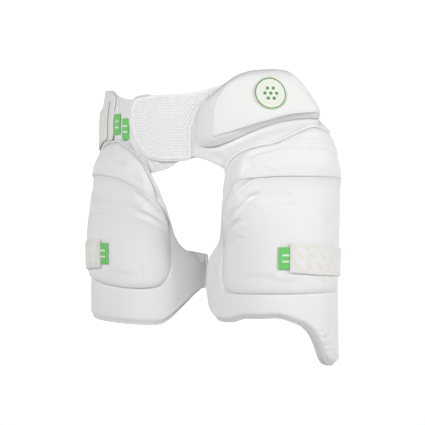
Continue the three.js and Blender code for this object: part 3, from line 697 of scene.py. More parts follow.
def makeGreen():
    s = greenTape
    tape = Finish("green_tape", 0.42, sheen=0.2)
    u, v = tape.cloth()
    rib = v.wave(s["rib"])
    grain = tape.noise(90, 3)
    # painted shade: the ribbon is darker in the valleys between its ribs, with random grain
    colour = tape.blend((1 - rib) * 0.35 + grain * 0.3, s["fresh"], s["deep"])
    wide = (v.size() - s["barOff"]).size() < s["barHalf"]
    bars = wide * ((u - s["barMiddle"]).size() < s["barReach"])
    colour = tape.blend(bars * 0.85, colour, s["bar"])
    return tape.finish(colour, rib, s["bump"], 0.6, 0.38 + rib * 0.15)


# The badge: a white woven patch with a thin green ring and seven green dots
badgePatch = {
    "size": 0.0235,
    "fresh": tone(0.86, 0.88, 0.83),
    "green": tone(0.10, 0.34, 0.08),
    "gold": tone(0.62, 0.60, 0.42),
    "pitch": 0.0005,
    "bump": 0.00015,
}


def makeBadge():
    s = badgePatch
    patch = Finish("badge_patch", 0.5, sheen=0.1)
    u, v = patch.cloth()
    out = (u * u + v * v).power(0.5)
    ring = (out - s["size"] * 0.925).size() < s["size"] * 0.035
    edge = out > s["size"] * 0.965
    dots = patch.node("Attribute", {"attribute_name": "dot"}, output="Fac")
    twill = (u + v).wave(s["pitch"] * 1.6)
    grain = patch.noise(150, 3)
    colour = patch.blend(twill * 0.12 + grain * 0.1, s["fresh"], s["gold"])
    colour = patch.blend(ring.greater(dots.step(0.4, 0.6)), colour, s["green"])
    colour = patch.blend(edge * 0.45, colour, s["gold"])
    return patch.finish(colour, twill, s["bump"], 0.5, 0.45 + twill * 0.12)


# Sewing thread, for every stitch
threadColour = {"fresh": tone(0.88, 0.88, 0.87), "shade": tone(0.72, 0.72, 0.71), "bump": 0.0001}


def makeThread():
    s = threadColour
    thread = Finish("sewing_thread", 0.5, sheen=0.1)
    ply = thread.noise(1500, 2)
    colour = thread.blend(ply, s["fresh"], s["shade"])
    return thread.finish(colour, ply, s["bump"], 0.6, 0.45 + ply * 0.15)


class Graph:  # a Geometry Nodes tree for one repeat, which ends in plain painted meshes
    def __init__(self, name, source, sizes):
        self.tree = bpy.data.node_groups.new(name, "GeometryNodeTree")
        self.names = {}
        self.socket("Geometry", "Geometry", "OUTPUT")
        self.socket(source, "Geometry")
        for key, value in sizes.items():
            self.socket(key, "Float").default_value = value
        self.socket("paint", "Material")
        self.given = self.add("NodeGroupInput").outputs

    def socket(self, name, kind, side="INPUT"):
        made = self.tree.interface.new_socket(name=name, in_out=side, socket_type="NodeSocket" + kind)
        self.names[name] = made.identifier
        return made

    def add(self, kind, settings=None, **sockets):
        made = self.tree.nodes.new(kind)
        for key, value in (settings or {}).items():
            setattr(made, key, value)
        for key, value in sockets.items():
            socket = made.inputs[key.replace("_", " ")]
            if isinstance(value, bpy.types.NodeSocket):
                self.tree.links.new(value, socket)
            else:
                socket.default_value = value
        return made

    def finish(self, geometry):
        real = self.add("GeometryNodeRealizeInstances", Geometry=geometry)
        last = {"Geometry": real.outputs[0], "Material": self.given["paint"]}
        painted = self.add("GeometryNodeSetMaterial", **last)
        self.add("NodeGroupOutput", Geometry=painted.outputs[0])
        return self

    def run(self, piece, paint):
        modifier = piece.modifiers.new(self.tree.name, "NODES")
        modifier.node_group = self.tree
        modifier[self.names["paint"]] = paint
        convert(piece, modifier)


# Stitches: one row of short rounded threads along a seam
stitching = {"pitch": 3.4, "length": 2.5, "width": 0.6}


def stitchGraph():
    graph = Graph("stitch row", "seam", {key: value * mm for key, value in stitching.items()})
    add, given = graph.add, graph.given
    line = add("GeometryNodeMeshToCurve", Mesh=given["seam"]).outputs[0]
    even = add("GeometryNodeResampleCurve", {"mode": "LENGTH"}, Curve=line, Length=given["pitch"])
    points = add("GeometryNodeCurveToPoints", {"mode": "EVALUATED"}, Curve=even.outputs[0])
    ball = add("GeometryNodeMeshUVSphere", Segments=6, Rings=4, Radius=0.5)
    sizes = add("ShaderNodeCombineXYZ", X=given["length"], Y=given["width"], Z=given["width"])
    stitch = add("GeometryNodeTransform", Geometry=ball.outputs[0], Scale=sizes.outputs[0])
    turn = add("FunctionNodeAlignRotationToVector", {"axis": "X"}, Vector=points.outputs["Tangent"])
    laid = add("GeometryNodeInstanceOnPoints", Points=points.outputs[0], Instance=stitch.outputs[0],
               Rotation=turn.outputs[0])
    return graph.finish(laid.outputs[0])


def sew(name, lines):  # lines are rows of points on the cloth, in millimetres
    points = np.concatenate(lines)
    starts = np.cumsum([0, *[len(line) for line in lines]])
    mesh = bpy.data.meshes.new(name)
    edges = [(k, k + 1) for a, b in zip(starts, starts[1:]) for k in range(a, b - 1)]
    mesh.from_pydata((points * mm).tolist(), edges, [])
    seam = addObject(name, mesh)
    stitches.run(seam, finishes["thread"])
    smoothFaces(seam.data)
    dress(seam, "binding_tape")


stitches = stitchGraph()
finishes = {
    "stretch": makeStretch(),
    "net": makeNet(),
    "loop": makeLoop(),
    "cream": makeCream(),
    "webbing": makeWebbing(),
    "belt": makeWebbing("plain_webbing", False),
    "binding": makeBinding(),
    "green": makeGreen(),
    "badge": makeBadge(),
    "thread": makeThread(),
}
print("finishes and stitches are ready")


def atAngle(height):
    return lambda angle: height + 0 * angle


def scaled(rows, key, size):
    share = curve(rows, key)
    return lambda angle: size * share(angle)


def creases(folds):  # on the side of the body that faces the photograph's camera
    def at(angle, height, x, y):
        facing = smooth((100 - np.abs(angle)) / 20)
        return facing * sum(f(x, y) for f in folds)

    return at


def onPanel(panel, points, above=0.35):  # angles and heights to places just proud of a panel's face
    angle, height = (np.array(part, float) for part in zip(*points))
    return panel.place(angle, height, panel.outer(angle, height) + above)


def along(panel, start, end, heightAt, count=60, above=0.35):
    angle = np.linspace(start, end, count)
    return panel.place(angle, heightAt(angle), panel.outer(angle, heightAt(angle)) + above)


# The belt: heights above the seat are shares of the rise, those below are shares of the drop
belt = {
    "rise": 42,
    "drop": 54,
    "flapStart": -32,
    "boundTo": -19,
    "flapCorner": 14,
    "seamFoot": 3,
    "seamHead": 22,
}
beltShape = table(
    "angle top bottom",
    (-104, 1.3, 0.6), (-73, 1.4, 0.8), (-57, 1.36, 1.4), (-44, 1.05, 1.48), (-32, 0.93, 1.48),
    (-19, 1, 1.36), (-10, 1.01, 1.24), (-5, 1.01, 1.08), (0, 1.03, 0.97), (7, 1.12, 0.97), (22, 1.38, 1.5),
)
beltTop = scaled(beltShape, "top", belt["rise"])
beltBottom = scaled(beltShape, "bottom", -belt["drop"])

# The waist panel: soft gathers under the flap's round end, in the photograph's pixels
waistPanel = {"start": -104, "end": 4, "below": 0.5, "hem": 1.5, "gather": 2.6, "gatherWidth": 1.6}
gatherLines = [
    [(133, 128), (137, 143), (140, 158)],
    [(138, 136), (144, 152), (147, 166)],
    [(146, 146), (151, 158), (154, 169)],
    [(156, 152), (161, 161), (163, 168)],
    [(121, 128), (125, 140), (133, 152)],
    [(112, 128), (113, 142), (118, 152)],
    [(116, 102), (118, 112), (120, 120)],
]


def makeWaistPanel():
    w = waistPanel
    top = lambda angle: beltTop(angle) - w["below"]
    span = (w["start"], w["end"])
    panel = Panel(onHips, span, beltBottom, top, 0, walls["loopBand"], evenHem(w["hem"]))
    folds = creases([fold(line, w["gather"], w["gatherWidth"]) for line in gatherLines])
    piece = panel.build("waist_band", finishes["loop"], 150, 64, folds)
    dress(piece, "loop_cloth", "waist_panel")


# The mesh flap: a round end to the trailing side, and a point that runs up beside the hip pad
flapShape = table(
    "angle bottom",
    (-32, -0.4), (-31, 0.05), (-29, 0.36), (-24.5, 0.7), (-18.5, 0.92), (-10, 1.0), (3, 0.97),
)
meshSeam = table("angle height", (3, -0.12), (5.5, 0.34), (11.5, 0.74), (17, 1.02), (22, 1.32))
flap = {
    "backing": 2.5,
    "net": 3.4,
    "cell": 4.6,
    "hole": 0.8,
    "depth": 0.7,
    "taper": 0.8,
    "past": 0.4,
    "tagStep": 1.6,
    "tagDrop": 6,
    "tagLean": 6,
    "seamIn": 2.2,
}
flapLow = curve(flapShape, "bottom")
meshSeamHeight = curve(meshSeam, "height")


def flapBottom(angle):
    lower = -belt["drop"] * flapLow(angle)
    upper = belt["rise"] * meshSeamHeight(angle) + walls["seamGap"]
    return np.where(angle <= belt["seamFoot"], lower, upper)


def flapTop(angle):
    near = (angle - belt["flapStart"]) * wearer["hipWidth"] / 2 * math.radians(1)
    return beltTop(angle) - belt["flapCorner"] * (1 - risen(near, belt["flapCorner"]))


def netGraph():
    sizes = {"hole": flap["hole"], "depth": -flap["depth"] * mm, "taper": flap["taper"]}
    graph = Graph("spacer net", "lattice", sizes)

    def sunk(geometry, inside, depth, scale):  # each chosen face drawn in and set back
        sockets = {"Mesh": geometry, "Offset Scale": depth, "Individual": True, **inside}
        deep = graph.add("GeometryNodeExtrudeMesh", **sockets)
        inside = {"Selection": deep.outputs["Top"]}
        small = {"Geometry": deep.outputs["Mesh"], "Scale": graph.given[scale], **inside}
        return graph.add("GeometryNodeScaleElements", **small).outputs[0], inside

    cells = graph.add("GeometryNodeDualMesh", Mesh=graph.given["lattice"]).outputs[0]
    lip, inside = sunk(cells, {}, 0.0, "hole")
    pit, floor = sunk(lip, inside, graph.given["depth"], "taper")
    # the pit floors are marked for their darker colour, which holds painted shade in the pits as well as the
    # yarns' tone
    mark = {"Geometry": pit, "Name": "sunk", "Value": 1.0, **floor}
    settings = {"data_type": "FLOAT", "domain": "FACE"}
    return graph.finish(graph.add("GeometryNodeStoreNamedAttribute", settings, **mark).outputs[0])


def makeFlap():
    f = flap
    span = (belt["flapStart"], belt["seamHead"])
    panel = Panel(onHips, span, flapBottom, flapTop, beltLift, f["backing"])
    backing = panel.build("mesh_flap_ground", finishes["net"], 120, 48)
    dress(backing, "spacer_mesh", "front_flap")

    # A lattice of triangles inside the flap's outline, whose dual is the net's six-sided cells
    cell = f["cell"]
    rows = np.arange(-belt["drop"] - cell, 1.5 * belt["rise"], cell * math.sqrt(3) / 2)
    columns = np.arange(0, panel.length + cell, cell)
    run = columns[:, None] + (np.arange(len(rows)) % 2)[None, :] * cell / 2
    height = np.repeat(rows[None, :], len(columns), 0)
    angle = np.interp(run, panel.run, panel.angles)
    low, high = flapBottom(angle) - f["past"], flapTop(angle) + f["past"]
    inside = (run < panel.length) & (height > low) & (height < high)
    near = np.minimum.reduce([height - low, high - height, run, panel.length - run])
    lift = beltLift + mix(f["backing"] + 0.2, f["net"], smooth(near / 4))
    points = onHips(angle, np.clip(height, low, high), lift).reshape(-1, 3)
    keep = inside.ravel()
    index = np.cumsum(keep) - 1
    faces = []
    for a, b, c, d in gridFaces(len(columns), len(rows)):
        both = [(a, b, d), (b, c, d)] if a % len(rows) % 2 == 0 else [(a, c, d), (a, b, c)]
        faces += [[int(index[k]) for k in tri] for tri in both if keep[list(tri)].all()]
    mesh = bpy.data.meshes.new("mesh_flap_net")
    mesh.from_pydata((points[keep] * mm).tolist(), [], faces)
    mesh.uv_layers.new(name="cloth")
    net = addObject("mesh_flap_net", mesh)
    netGraph().run(net, finishes["net"])
    dress(net, "spacer_mesh")
    print(f"the net has {len(net.data.polygons)} faces")
    return panel


# Binding tape: a rounded tape round an edge, just outside it, with the panel on the path's left
tapeShape = {
    "trim": 0.8,
    "corners": 12,
    "round": 0.6,
    "gap": 0.15,
    "ripple": 0.12,
    "thin": 0.2,
    "taper": 9,
    "seam": 0.35,
    "seamUp": 0.98,
}


def binding(name, place, path, under, thick, node):
    angle, height = (np.array(part, float) for part in zip(*path))
    scale = np.linalg.norm(place(angle + 1, height, 0) - place(angle, height, 0), axis=-1)
    runs = np.stack([np.gradient(angle) * scale, np.gradient(height)], -1)
    runs /= np.linalg.norm(runs, axis=-1, keepdims=True)
    under = under(angle) if callable(under) else under + 0 * angle
    wide = walls["bindingWidth"] - tapeShape["trim"]
    corners = tapeShape["corners"]
    turns = np.arange(corners) * 2 * pi / corners
    swell = lambda t: np.sign(t) * np.abs(t) ** tapeShape["round"]
    out = tapeShape["gap"] + wide / 2 + wide / 2 * swell(np.cos(turns))
    up = thick / 2 + thick / 2 * swell(np.sin(turns))
    far = runAlong(place(angle, height, 0))
    ripple = tapeShape["ripple"] * np.sin(far * 2 * pi / stitching["pitch"])
    full = mix(tapeShape["thin"], 1, smooth(np.minimum(far, far[-1] - far) / tapeShape["taper"]))
    rings = [
        place(
            angle + runs[:, 1] * out[k] * full / scale,
            height - runs[:, 0] * out[k] * full,
            under + up[k] * full + (ripple if up[k] > thick / 2 else 0),
        )
        for k in range(corners)
    ]
    points = np.stack(rings, 1).reshape(-1, 3)
    count = len(path)
    faces = ringFaces(count, corners)
    faces += [list(range(corners))[::-1], [(count - 1) * corners + k for k in range(corners)]]
    uv = np.stack([np.repeat(far, corners), np.tile(out, count)], -1)
    piece = addMesh(name, points, faces, finishes["binding"], uv)
    dress(piece, "binding_tape", node)
    middle = walls["seamGap"] + wide * tapeShape["seam"]
    aside, above = runs[:, 1] * middle / scale, runs[:, 0] * middle
    return place(angle + aside, height - above, under + thick * tapeShape["seamUp"])


# Green pull tags: a short loop of ribbon, folded flat and sewn under an end
tag = {"wide": 32, "long": 16, "fold": 4, "hem": 0.8, "curl": 9, "ripple": 5}


def perDegree(place, angle, height, lift):  # how many millimetres one degree spans
    return float(np.linalg.norm(place(angle + 1, height, lift) - place(angle, height, lift)))


def pullTag(name, place, start, direction, middle, under, node, lean=1.4):
    scale = perDegree(place, start, middle, under)
    far = start + direction * tag["long"] / scale
    hem = {"bottom": tag["hem"], "top": tag["hem"], "end" if direction > 0 else "start": tag["fold"]}
    low, high = middle - tag["wide"] / 2, middle + tag["wide"] / 2
    panel = Panel(place, sorted((start, far)), atAngle(low), atAngle(high), under, walls["tag"], hem)

    def curl(a, h, x, y):  # the ribbon's free end bends away from the cloth
        reach = np.abs(a - start) / abs(far - start)
        bend = 0.6 + 0.4 * np.sin((h - middle) / tag["curl"])
        return lean * reach**2 * bend - 0.3 * np.sin(h / tag["ripple"])

    piece = panel.build(name, finishes["green"], 24, 40, curl)
    layer = piece.data.uv_layers["cloth"]
    flat = readAll(layer.data, "uv", 2)
    flat[:, 1] -= middle * mm
    layer.data.foreach_set("uv", flat.ravel())
    dress(piece, "green_tape", node)


# The hip panel: stretch cloth that carries the hip pad and runs down under the leading pad
hipPanelShape = table(
    "angle top bottom",
    (3, 0.1, 0.64), (5.5, 0.15, 0.65), (11.5, 0.25, 0.72), (17, 0.45, 0.83), (22, 0.7, 0.95), (28, 0.86, 1),
    (35, 0.95, 1), (46, 1, 1), (54, 0.98, 1), (60, 0.83, 1), (66, 0.6, 0.95), (72, 0.33, 0.9),
    (76, 0.1, 0.85),
)
hipPanel = {
    "rise": 78,
    "drop": 80,
    "start": 2.2,
    "end": 76,
    "lap": 1.2,
    "lapRun": 4,
    "hem": {"bottom": 1.5, "top": 2, "start": 4, "end": 1.5},
    "keep": {"start": 0.1},
    "crease": 0.9,
    "creaseWide": 3,
    "roll": 4.5,
    "rollBelow": 6,
    "rollWide": 10,
    "rollFrom": 8,
    "rollRun": 14,
    "rollFade": 10,
}
hipPanelFolds = [
    [(203, 152), (216, 155), (229, 163)],
    [(199, 138), (206, 128), (211, 116)],
    [(205, 158), (214, 158), (223, 163)],
]
hipPanelEdge = scaled(hipPanelShape, "top", hipPanel["rise"])


def hipPanelTop(angle):
    seam = belt["rise"] * meshSeamHeight(angle)
    edge = hipPanelEdge(angle)
    past = np.maximum(edge, mix(seam, edge, smooth((angle - belt["seamHead"]) / 6)))
    return np.where(angle < belt["seamHead"], seam, past)


def makeHipPanel():
    h = hipPanel
    low = scaled(hipPanelShape, "bottom", -h["drop"])
    wall = lambda a, height: walls["stretch"] + h["lap"] * (1 - smooth((a - h["start"] - 1) / h["lapRun"]))
    span = (h["start"], h["end"])
    panel = Panel(onHips, span, low, hipPanelTop, beltLift, wall, h["hem"], h["keep"])
    folds = creases([fold(line, h["crease"], h["creaseWide"]) for line in hipPanelFolds])
    foot = scaled(hipPadShape, "bottom", h["rise"])

    def swell(a, height, x, y):  # the cloth gathers in a soft roll along the block's foot
        roll = h["roll"] * bell((height - foot(a) + h["rollBelow"]) / h["rollWide"])
        roll = roll * smooth((a - h["rollFrom"]) / h["rollRun"]) * smooth((h["end"] - a) / h["rollFade"])
        return roll + folds(a, height, x, y)

    piece = panel.build("hip_cloth", finishes["stretch"], 110, 80, swell)
    dress(piece, "stretch_cloth", "hip_panel")


# The hip pad: a thick block with sloping sides and a flat warm face, both D-shaped
hipPadShape = table(
    "angle bottom top",
    (4.5, -0.36, 0.12), (8, -0.46, 0.34), (12.5, -0.47, 0.5), (19, -0.4, 0.72), (27, -0.26, 0.9),
    (35, -0.13, 0.97), (46, 0.0, 0.99), (54, 0.05, 0.95), (60, 0.07, 0.8), (66, 0.08, 0.55),
    (74, 0.09, 0.17),
)
hipFaceShape = table(
    "angle bottom top",
    (14, -0.29, 0.16), (16.5, -0.26, 0.46), (21, -0.21, 0.68), (27, -0.13, 0.81), (33.5, -0.05, 0.86),
    (40.5, 0.03, 0.86), (46, 0.09, 0.83), (52.5, 0.14, 0.75), (60, 0.17, 0.57), (67, 0.19, 0.3),
)
hipPad = {
    "span": (4.5, 74),
    "belowFace": 0.6,
    "hem": {"bottom": 13, "top": 12, "start": 30, "end": 16},
    "keep": {"bottom": 0.5, "top": 0.2, "start": 0.05, "end": 0.2, "least": 0.05, "soft": "start bottom"},
    "puff": dict(sewn=2, ease=10, stiff=2, pressure=3, spare=0.01, frames=16, cap=1.2, sink=0.6, calm=2),
}
hipFace = {"span": (14, 67), "up": 0.2, "hem": 2, "sewn": (16, 65), "inset": 2.6}


def swollen(piece, panel, settings, slot, node, folds=(), room=None):
    puff(piece, panel, settings, room)
    refine(piece)
    if folds:
        crease(piece, folds)
    dress(piece, slot, node)


def makeHipPad():
    p, f = hipPad, hipFace
    low, high = (scaled(hipPadShape, side, hipPanel["rise"]) for side in ("bottom", "top"))
    wall = walls["hipPad"] - p["belowFace"]
    block = Panel(onHips, p["span"], low, high, hipPadLift, wall, p["hem"], p["keep"])
    piece = block.build("hip_block", finishes["stretch"], 64, 40)
    swollen(piece, block, p["puff"], "stretch_cloth", "hip_pad")
    low, high = (scaled(hipFaceShape, side, hipPanel["rise"]) for side in ("bottom", "top"))
    under = hipPadLift + walls["hipPad"] + f["up"]
    face = Panel(onHips, f["span"], low, high, under, walls["face"] + f["up"], evenHem(f["hem"]))
    plate = face.build("hip_face", finishes["cream"], 90, 60)
    dress(plate, "cream_cloth", "hip_pad_face")
    lines = [lambda a: low(a) + f["inset"], lambda a: high(a) - f["inset"]]
    sew("hip_face_thread", [along(face, *f["sewn"], line, above=0.1) for line in lines])


# The badge: a disc that follows the hip, with a raised ring and seven raised dots
badge = {
    "angle": 41,
    "height": 40,
    "wide": 47,
    "ring": 0.925,
    "ringWide": 0.05,
    "dot": 0.105,
    "spread": 0.36,
    "soft": 0.03,
    "edge": 0.97,
    "raise": 0.45,
}


def makeBadge3d():
    b = badge
    under = hipPadLift + walls["hipPad"] + walls["face"] + 2 * walls["seamGap"]
    radius = b["wide"] / 2
    scale = perDegree(onHips, b["angle"], b["height"], under)
    rings, corners = 56, 160
    out = np.linspace(0, 1, rings + 1)[1:]
    turns = np.arange(corners) * 2 * pi / corners
    x = np.concatenate([[0], np.outer(out, np.cos(turns)).ravel()])
    y = np.concatenate([[0], np.outer(out, np.sin(turns)).ravel()])
    far = np.hypot(x, y)
    middles = [(0, 0), *[(math.cos(k * pi / 3), math.sin(k * pi / 3)) for k in range(6)]]
    off = [np.hypot(x - b["spread"] * cx, y - b["spread"] * cy) for cx, cy in middles]
    dots = np.max([smooth((b["dot"] - near) / b["soft"] + 0.5) for near in off], axis=0)
    ring = smooth((b["ringWide"] - np.abs(far - b["ring"])) / b["soft"])
    sunk = b["raise"] * (1 - np.maximum(ring, dots)) * (far < b["edge"])
    thick = walls["badge"] * mix(0.4, 1, risen(1 - far, b["soft"])) - sunk
    place = lambda lift: onHips(b["angle"] + radius * x / scale, b["height"] + radius * y, lift)
    points = np.concatenate([place(under + thick), place(under + 0 * thick)])
    back = len(x)
    faces = []
    for side, turned in ((0, False), (back, True)):
        for k in range(corners):
            m = (k + 1) % corners
            cells = [[side, side + 1 + k, side + 1 + m]]
            for r in range(rings - 1):
                a = side + 1 + r * corners
                cells.append([a + k, a + corners + k, a + corners + m, a + m])
            faces += [cell[::-1] for cell in cells] if turned else cells
    last = 1 + (rings - 1) * corners
    for k in range(corners):
        m = (k + 1) % corners
        faces.append([last + m, last + k, last + k + back, last + m + back])
    uv = np.tile(np.stack([x, y], -1) * radius, (2, 1))
    piece = addMesh("hip_badge", points, faces, finishes["badge"], uv)
    mark = piece.data.attributes.new("dot", "FLOAT", "POINT")
    mark.data.foreach_set("value", np.tile(dots, 2))
    dress(piece, "badge_patch", "badge")


# The back belt and the webbing tab on its end
backShape = table(
    "angle top bottom",
    (76, 0.1, 0.95), (95, -0.2, 1.05), (130, 0.25, 1), (180, 0.75, 0.8), (250, 1.1, 0.72),
    (287, 1.4, 0.68), (303, 1.32, 0.46), (311, 1.12, 0.4),
)
backBelt = {
    "start": 76.3,
    "end": 311,
    "hem": {"bottom": 1.2, "top": 1.2},
    "tabStart": 262,
    "tabEnd": 307,
    "tabWide": 58,
    "tabLift": 3,
    "tabHem": 0.9,
    "seamIn": 2.2,
    "tagStep": 2,
    "tagLean": 3,
}


def makeBackBelt():
    b = backBelt
    end, tabEnd = b["end"], b["tabEnd"]
    low, high = scaled(backShape, "bottom", -belt["drop"]), scaled(backShape, "top", belt["rise"])
    panel = Panel(onHips, (b["start"], end), low, high, beltLift, walls["belt"], b["hem"])
    piece = panel.build("belt_back", finishes["belt"], 260, 30)
    dress(piece, "webbing", "back_belt")
    path = [(end, height) for height in np.linspace(low(end), high(end), 40)]
    line = binding("belt_end_binding", onHips, path, beltLift, walls["belt"], "back_belt_binding")
    tabLow = lambda angle: low(angle) + b["tabLift"]
    tabHigh = lambda angle: tabLow(angle) + b["tabWide"]
    hem = evenHem(b["tabHem"])
    tab = Panel(onHips, (b["tabStart"], tabEnd), tabLow, tabHigh, tabLift, walls["webbing"], hem)
    piece = tab.build("belt_tab", finishes["webbing"], 110, 30)
    dress(piece, "webbing", "hip_tab")
    heights = [tabLow(tabEnd) + k for k in np.linspace(3, b["tabWide"] - 3, 30)]
    rows = [onPanel(tab, [(tabEnd - step, height) for height in heights]) for step in (1, 10)]
    for up in (b["seamIn"], b["tabWide"] - b["seamIn"]):
        rows.append(along(tab, b["tabStart"] + 1, tabEnd - 1, lambda a: tabLow(a) + up))
    sew("belt_tab_thread", [*rows, line])
    start = end - 360 + b["tagStep"]
    pullTag("belt_tab_tag", onHips, start, 1, 2, beltLift, "hip_tag", b["tagLean"])


# The thigh pads. Outlines are shares of a pad's height, 0 at the crown's top and 1 at the hem.
# Angles run from the inner side of the leg, past its front, to the outer side.
leadPad = {
    "name": "lead",
    "side": 1,
    "layer": padLift,
    "standOff": 8,
    "crown": 7,
    "hem": 297,
    "end": 118,
    "strapTip": 31,
    "strapDrop": 198,
    "tongueDrop": 360,
    "crownStart": -16,
    "seamFrom": 4,
    "topKeep": 0.15,
    "skirt": 1,
    "edge": 1.6,
    "outline": table(
        "angle top bottom wall",
        (-108, 0.72, 0.86, 0.8), (-90, 0.69, 0.865, 0.85), (-72, 0.66, 0.93, 0.9), (-54, 0.605, 0.97, 0.95),
        (-43, 0.555, 0.987, 1), (-33, 0.475, 0.99, 1), (-27, 0.385, 0.988, 1), (-21, 0.25, 0.982, 1),
        (-17, 0.175, 0.975, 1), (-9, 0.13, 0.966, 1), (3, 0.105, 0.965, 1), (20, 0.085, 0.96, 1),
        (37, 0.045, 0.985, 1.05), (52, 0.015, 1.02, 1.15), (64, 0, 1.06, 1.25), (81, 0.015, 1.06, 1.25),
        (92, 0.05, 1.06, 1.2), (105, 0.13, 1.04, 1.1), (118, 0.28, 0.9, 0.8),
    ),
    "tongue": table(
        "angle drop",
        (46, 0), (56, 0.1), (64, 0.38), (69, 0.72), (76, 0.93), (88, 1), (100, 0.93), (110, 0.66), (118, 0.1),
    ),
    "cushion": table(
        "angle top bottom wall",
        (-37, 0.69, 0.75, 0.9), (-34, 0.6, 0.81, 1), (-29, 0.51, 0.833, 1), (-22, 0.4, 0.838, 1),
        (-15, 0.3, 0.838, 1), (-7, 0.265, 0.838, 1), (6, 0.255, 0.838, 1), (37, 0.25, 0.838, 0.95),
        (64, 0.25, 0.838, 0.7), (108, 0.262, 0.838, 0.6),
    ),
    "shellFolds": [
        fold([(246, 181), (238, 190), (229, 202)], 2.4, 2.2),
        fold([(312, 331), (317, 332), (323, 330)], 2.0, 1.3),
        fold([(315, 337), (320, 338), (327, 335)], 2.2, 1.3),
        fold([(318, 344), (323, 345), (329, 342)], 2.2, 1.3),
        fold([(320, 351), (325, 352), (331, 349)], 1.8, 1.3),
    ],
    "cushionFolds": [
        fold([(262, 191), (250, 199), (240, 208), (223, 224)], 3.2, 2.6),
        fold([(242, 218), (232, 227), (219, 239)], 2.6, 2.3),
        fold([(254, 178), (243, 187), (230, 200)], 2.8, 2.2),
        fold([(246, 238), (232, 240), (220, 247)], 1.6, 2.6),
    ],
    "crownFolds": [
        fold([(246, 158), (262, 151), (280, 146), (305, 145), (336, 147)], 2.2, 2.2),
        fold([(240, 176), (246, 168), (258, 161), (275, 157)], 1.6, 2.4),
        fold([(285, 137), (305, 136), (325, 138)], 1.0, 2.0),
    ],
}
trailPad = {
    "name": "trail",
    "side": -1,
    "layer": beltLift,
    "standOff": 0,
    "crown": 26,
    "hem": 301,
    "end": 104,
    "strapTip": 26,
    "strapDrop": 194,
    "tongueDrop": 301,
    "crownStart": -26,
    "seamFrom": -12,
    "topKeep": 0.58,
    "skirt": 0.5,
    "edge": 4,
    "outline": table(
        "angle top bottom wall",
        (-108, 0.69, 0.83, 0.67), (-90, 0.66, 0.81, 0.67), (-72, 0.617, 0.838, 0.75), (-55, 0.573, 0.9, 0.9),
        (-45, 0.511, 0.945, 0.97), (-39, 0.434, 0.973, 1), (-33, 0.338, 0.993, 1), (-27, 0.24, 1, 1),
        (-20, 0.15, 1, 1), (-10, 0.084, 0.998, 1), (0, 0.037, 0.995, 1), (16, 0, 0.99, 1),
        (32, 0.004, 0.985, 1), (50, 0.03, 0.98, 1), (70, 0.08, 0.965, 1), (90, 0.14, 0.94, 0.95),
        (104, 0.2, 0.88, 0.8),
    ),
    "tongue": table("angle drop", (-108, 0), (104, 0)),
    "cushion": table(
        "angle top bottom wall",
        (-41, 0.58, 0.69, 0.9), (-38, 0.48, 0.735, 1), (-33, 0.39, 0.775, 1), (-25, 0.315, 0.795, 1),
        (-10, 0.243, 0.798, 1), (16, 0.19, 0.785, 1), (50, 0.172, 0.75, 1), (70, 0.18, 0.73, 0.9),
        (96, 0.21, 0.72, 0.8),
    ),
    "shellFolds": [
        fold([(140, 192), (152, 203), (163, 214), (171, 229)], 2.4, 2.0),
        fold([(152, 207), (162, 221), (168, 236)], 1.0, 2.4),
        fold([(150, 185), (157, 196), (163, 208)], 0.7, 2.4),
    ],
    "cushionFolds": [
        fold([(134, 211), (146, 216), (158, 221), (167, 232)], 3.0, 2.3),
        fold([(134, 191), (143, 199), (152, 207), (164, 222)], 3.2, 2.2),
        fold([(87, 209), (104, 210), (128, 216)], 1.2, 2.4),
    ],
    "crownFolds": [
        fold([(104, 160), (118, 158), (134, 164)], 0.4, 3.0),
        fold([(126, 176), (138, 180), (148, 187)], 0.4, 2.8),
    ],
}
strap = {
    "slope": 28,
    "wide": 43,
    "root": -97,
    "hem": 0.9,
    "fold": 0.9,
    "foldLong": 17,
    "press": 1.5,
    "pressPast": 3,
    "pressBefore": 12,
    "pressRun": 5,
    "sink": 0.6,
    "leave": 14,
    "leaveRun": 50,
    "land": 50,
    "landRun": 30,
    "threadIn": 2,
    "threadRows": (0.9, 4.5, 15),
    "threadUp": 0.2,
    "tagStep": 0.4,
}
wing = {"end": -108, "run": 14}
rim = {"wide": 8, "ridge": 0.4, "ridgeWide": 1.6, "under": 7.5, "ripple": 0.25, "pitch": 8.5, "beat": 0.13}
skirt = {"swell": 5.2, "ease": 2.4, "from": 0.6, "fade": 40, "tuck": 1.5}
shellForm = {
    "hem": {"bottom": 8, "top": 10, "start": 3, "end": 12},
    "keep": {"bottom": 0.85, "least": 0.2},
    "standFrom": -42,
    "standRun": 22,
    "standTop": 0.97,
    "standFade": 0.2,
    "thin": 0.5,
    "thinRun": 0.7,
    "thinStart": 0.05,
    "quiltFrom": -45,
    "quiltRun": 60,
}
seamForm = {
    "run": 14,
    "keep": 0.86,
    "inner": -0.6,
    "outer": -0.2,
    "cushionIn": 2.2,
    "crownIn": 1.6,
    "hemIn": 3,
}
cushionForm = {
    "hem": {"bottom": 4, "top": 4, "start": 34, "end": 12},
    "keep": {"bottom": 0.7, "start": 0.05, "least": 0.05, "soft": "start"},
    "sewnGap": 0.25,
    "sewnRun": 9,
    "puff": dict(sewn=2.5, ease=28, stiff=0.6, pressure=4, spare=0.035, frames=20, cap=2.2, sink=0.5, calm=1),
}
crownForm = {
    "hem": {"bottom": 3, "top": 12, "start": 18, "end": 12},
    "keep": {"top": 0.25, "start": 0.05, "least": 0.05, "soft": "start"},
    "puff": dict(sewn=2, ease=9, stiff=0.8, pressure=3, spare=0.02, frames=16, cap=1.6, sink=0.5, calm=1),
    "toe": 16,  # how long, in degrees, the crown takes to reach its full height
    "least": 3,
    "belowTop": 2.5,
    "thin": 0.25,
    "fall": 1.1,
    "endStep": 4,
    "bindFrom": -21,
    "bindStep": 5,
    "bindAbove": 1.8,
}


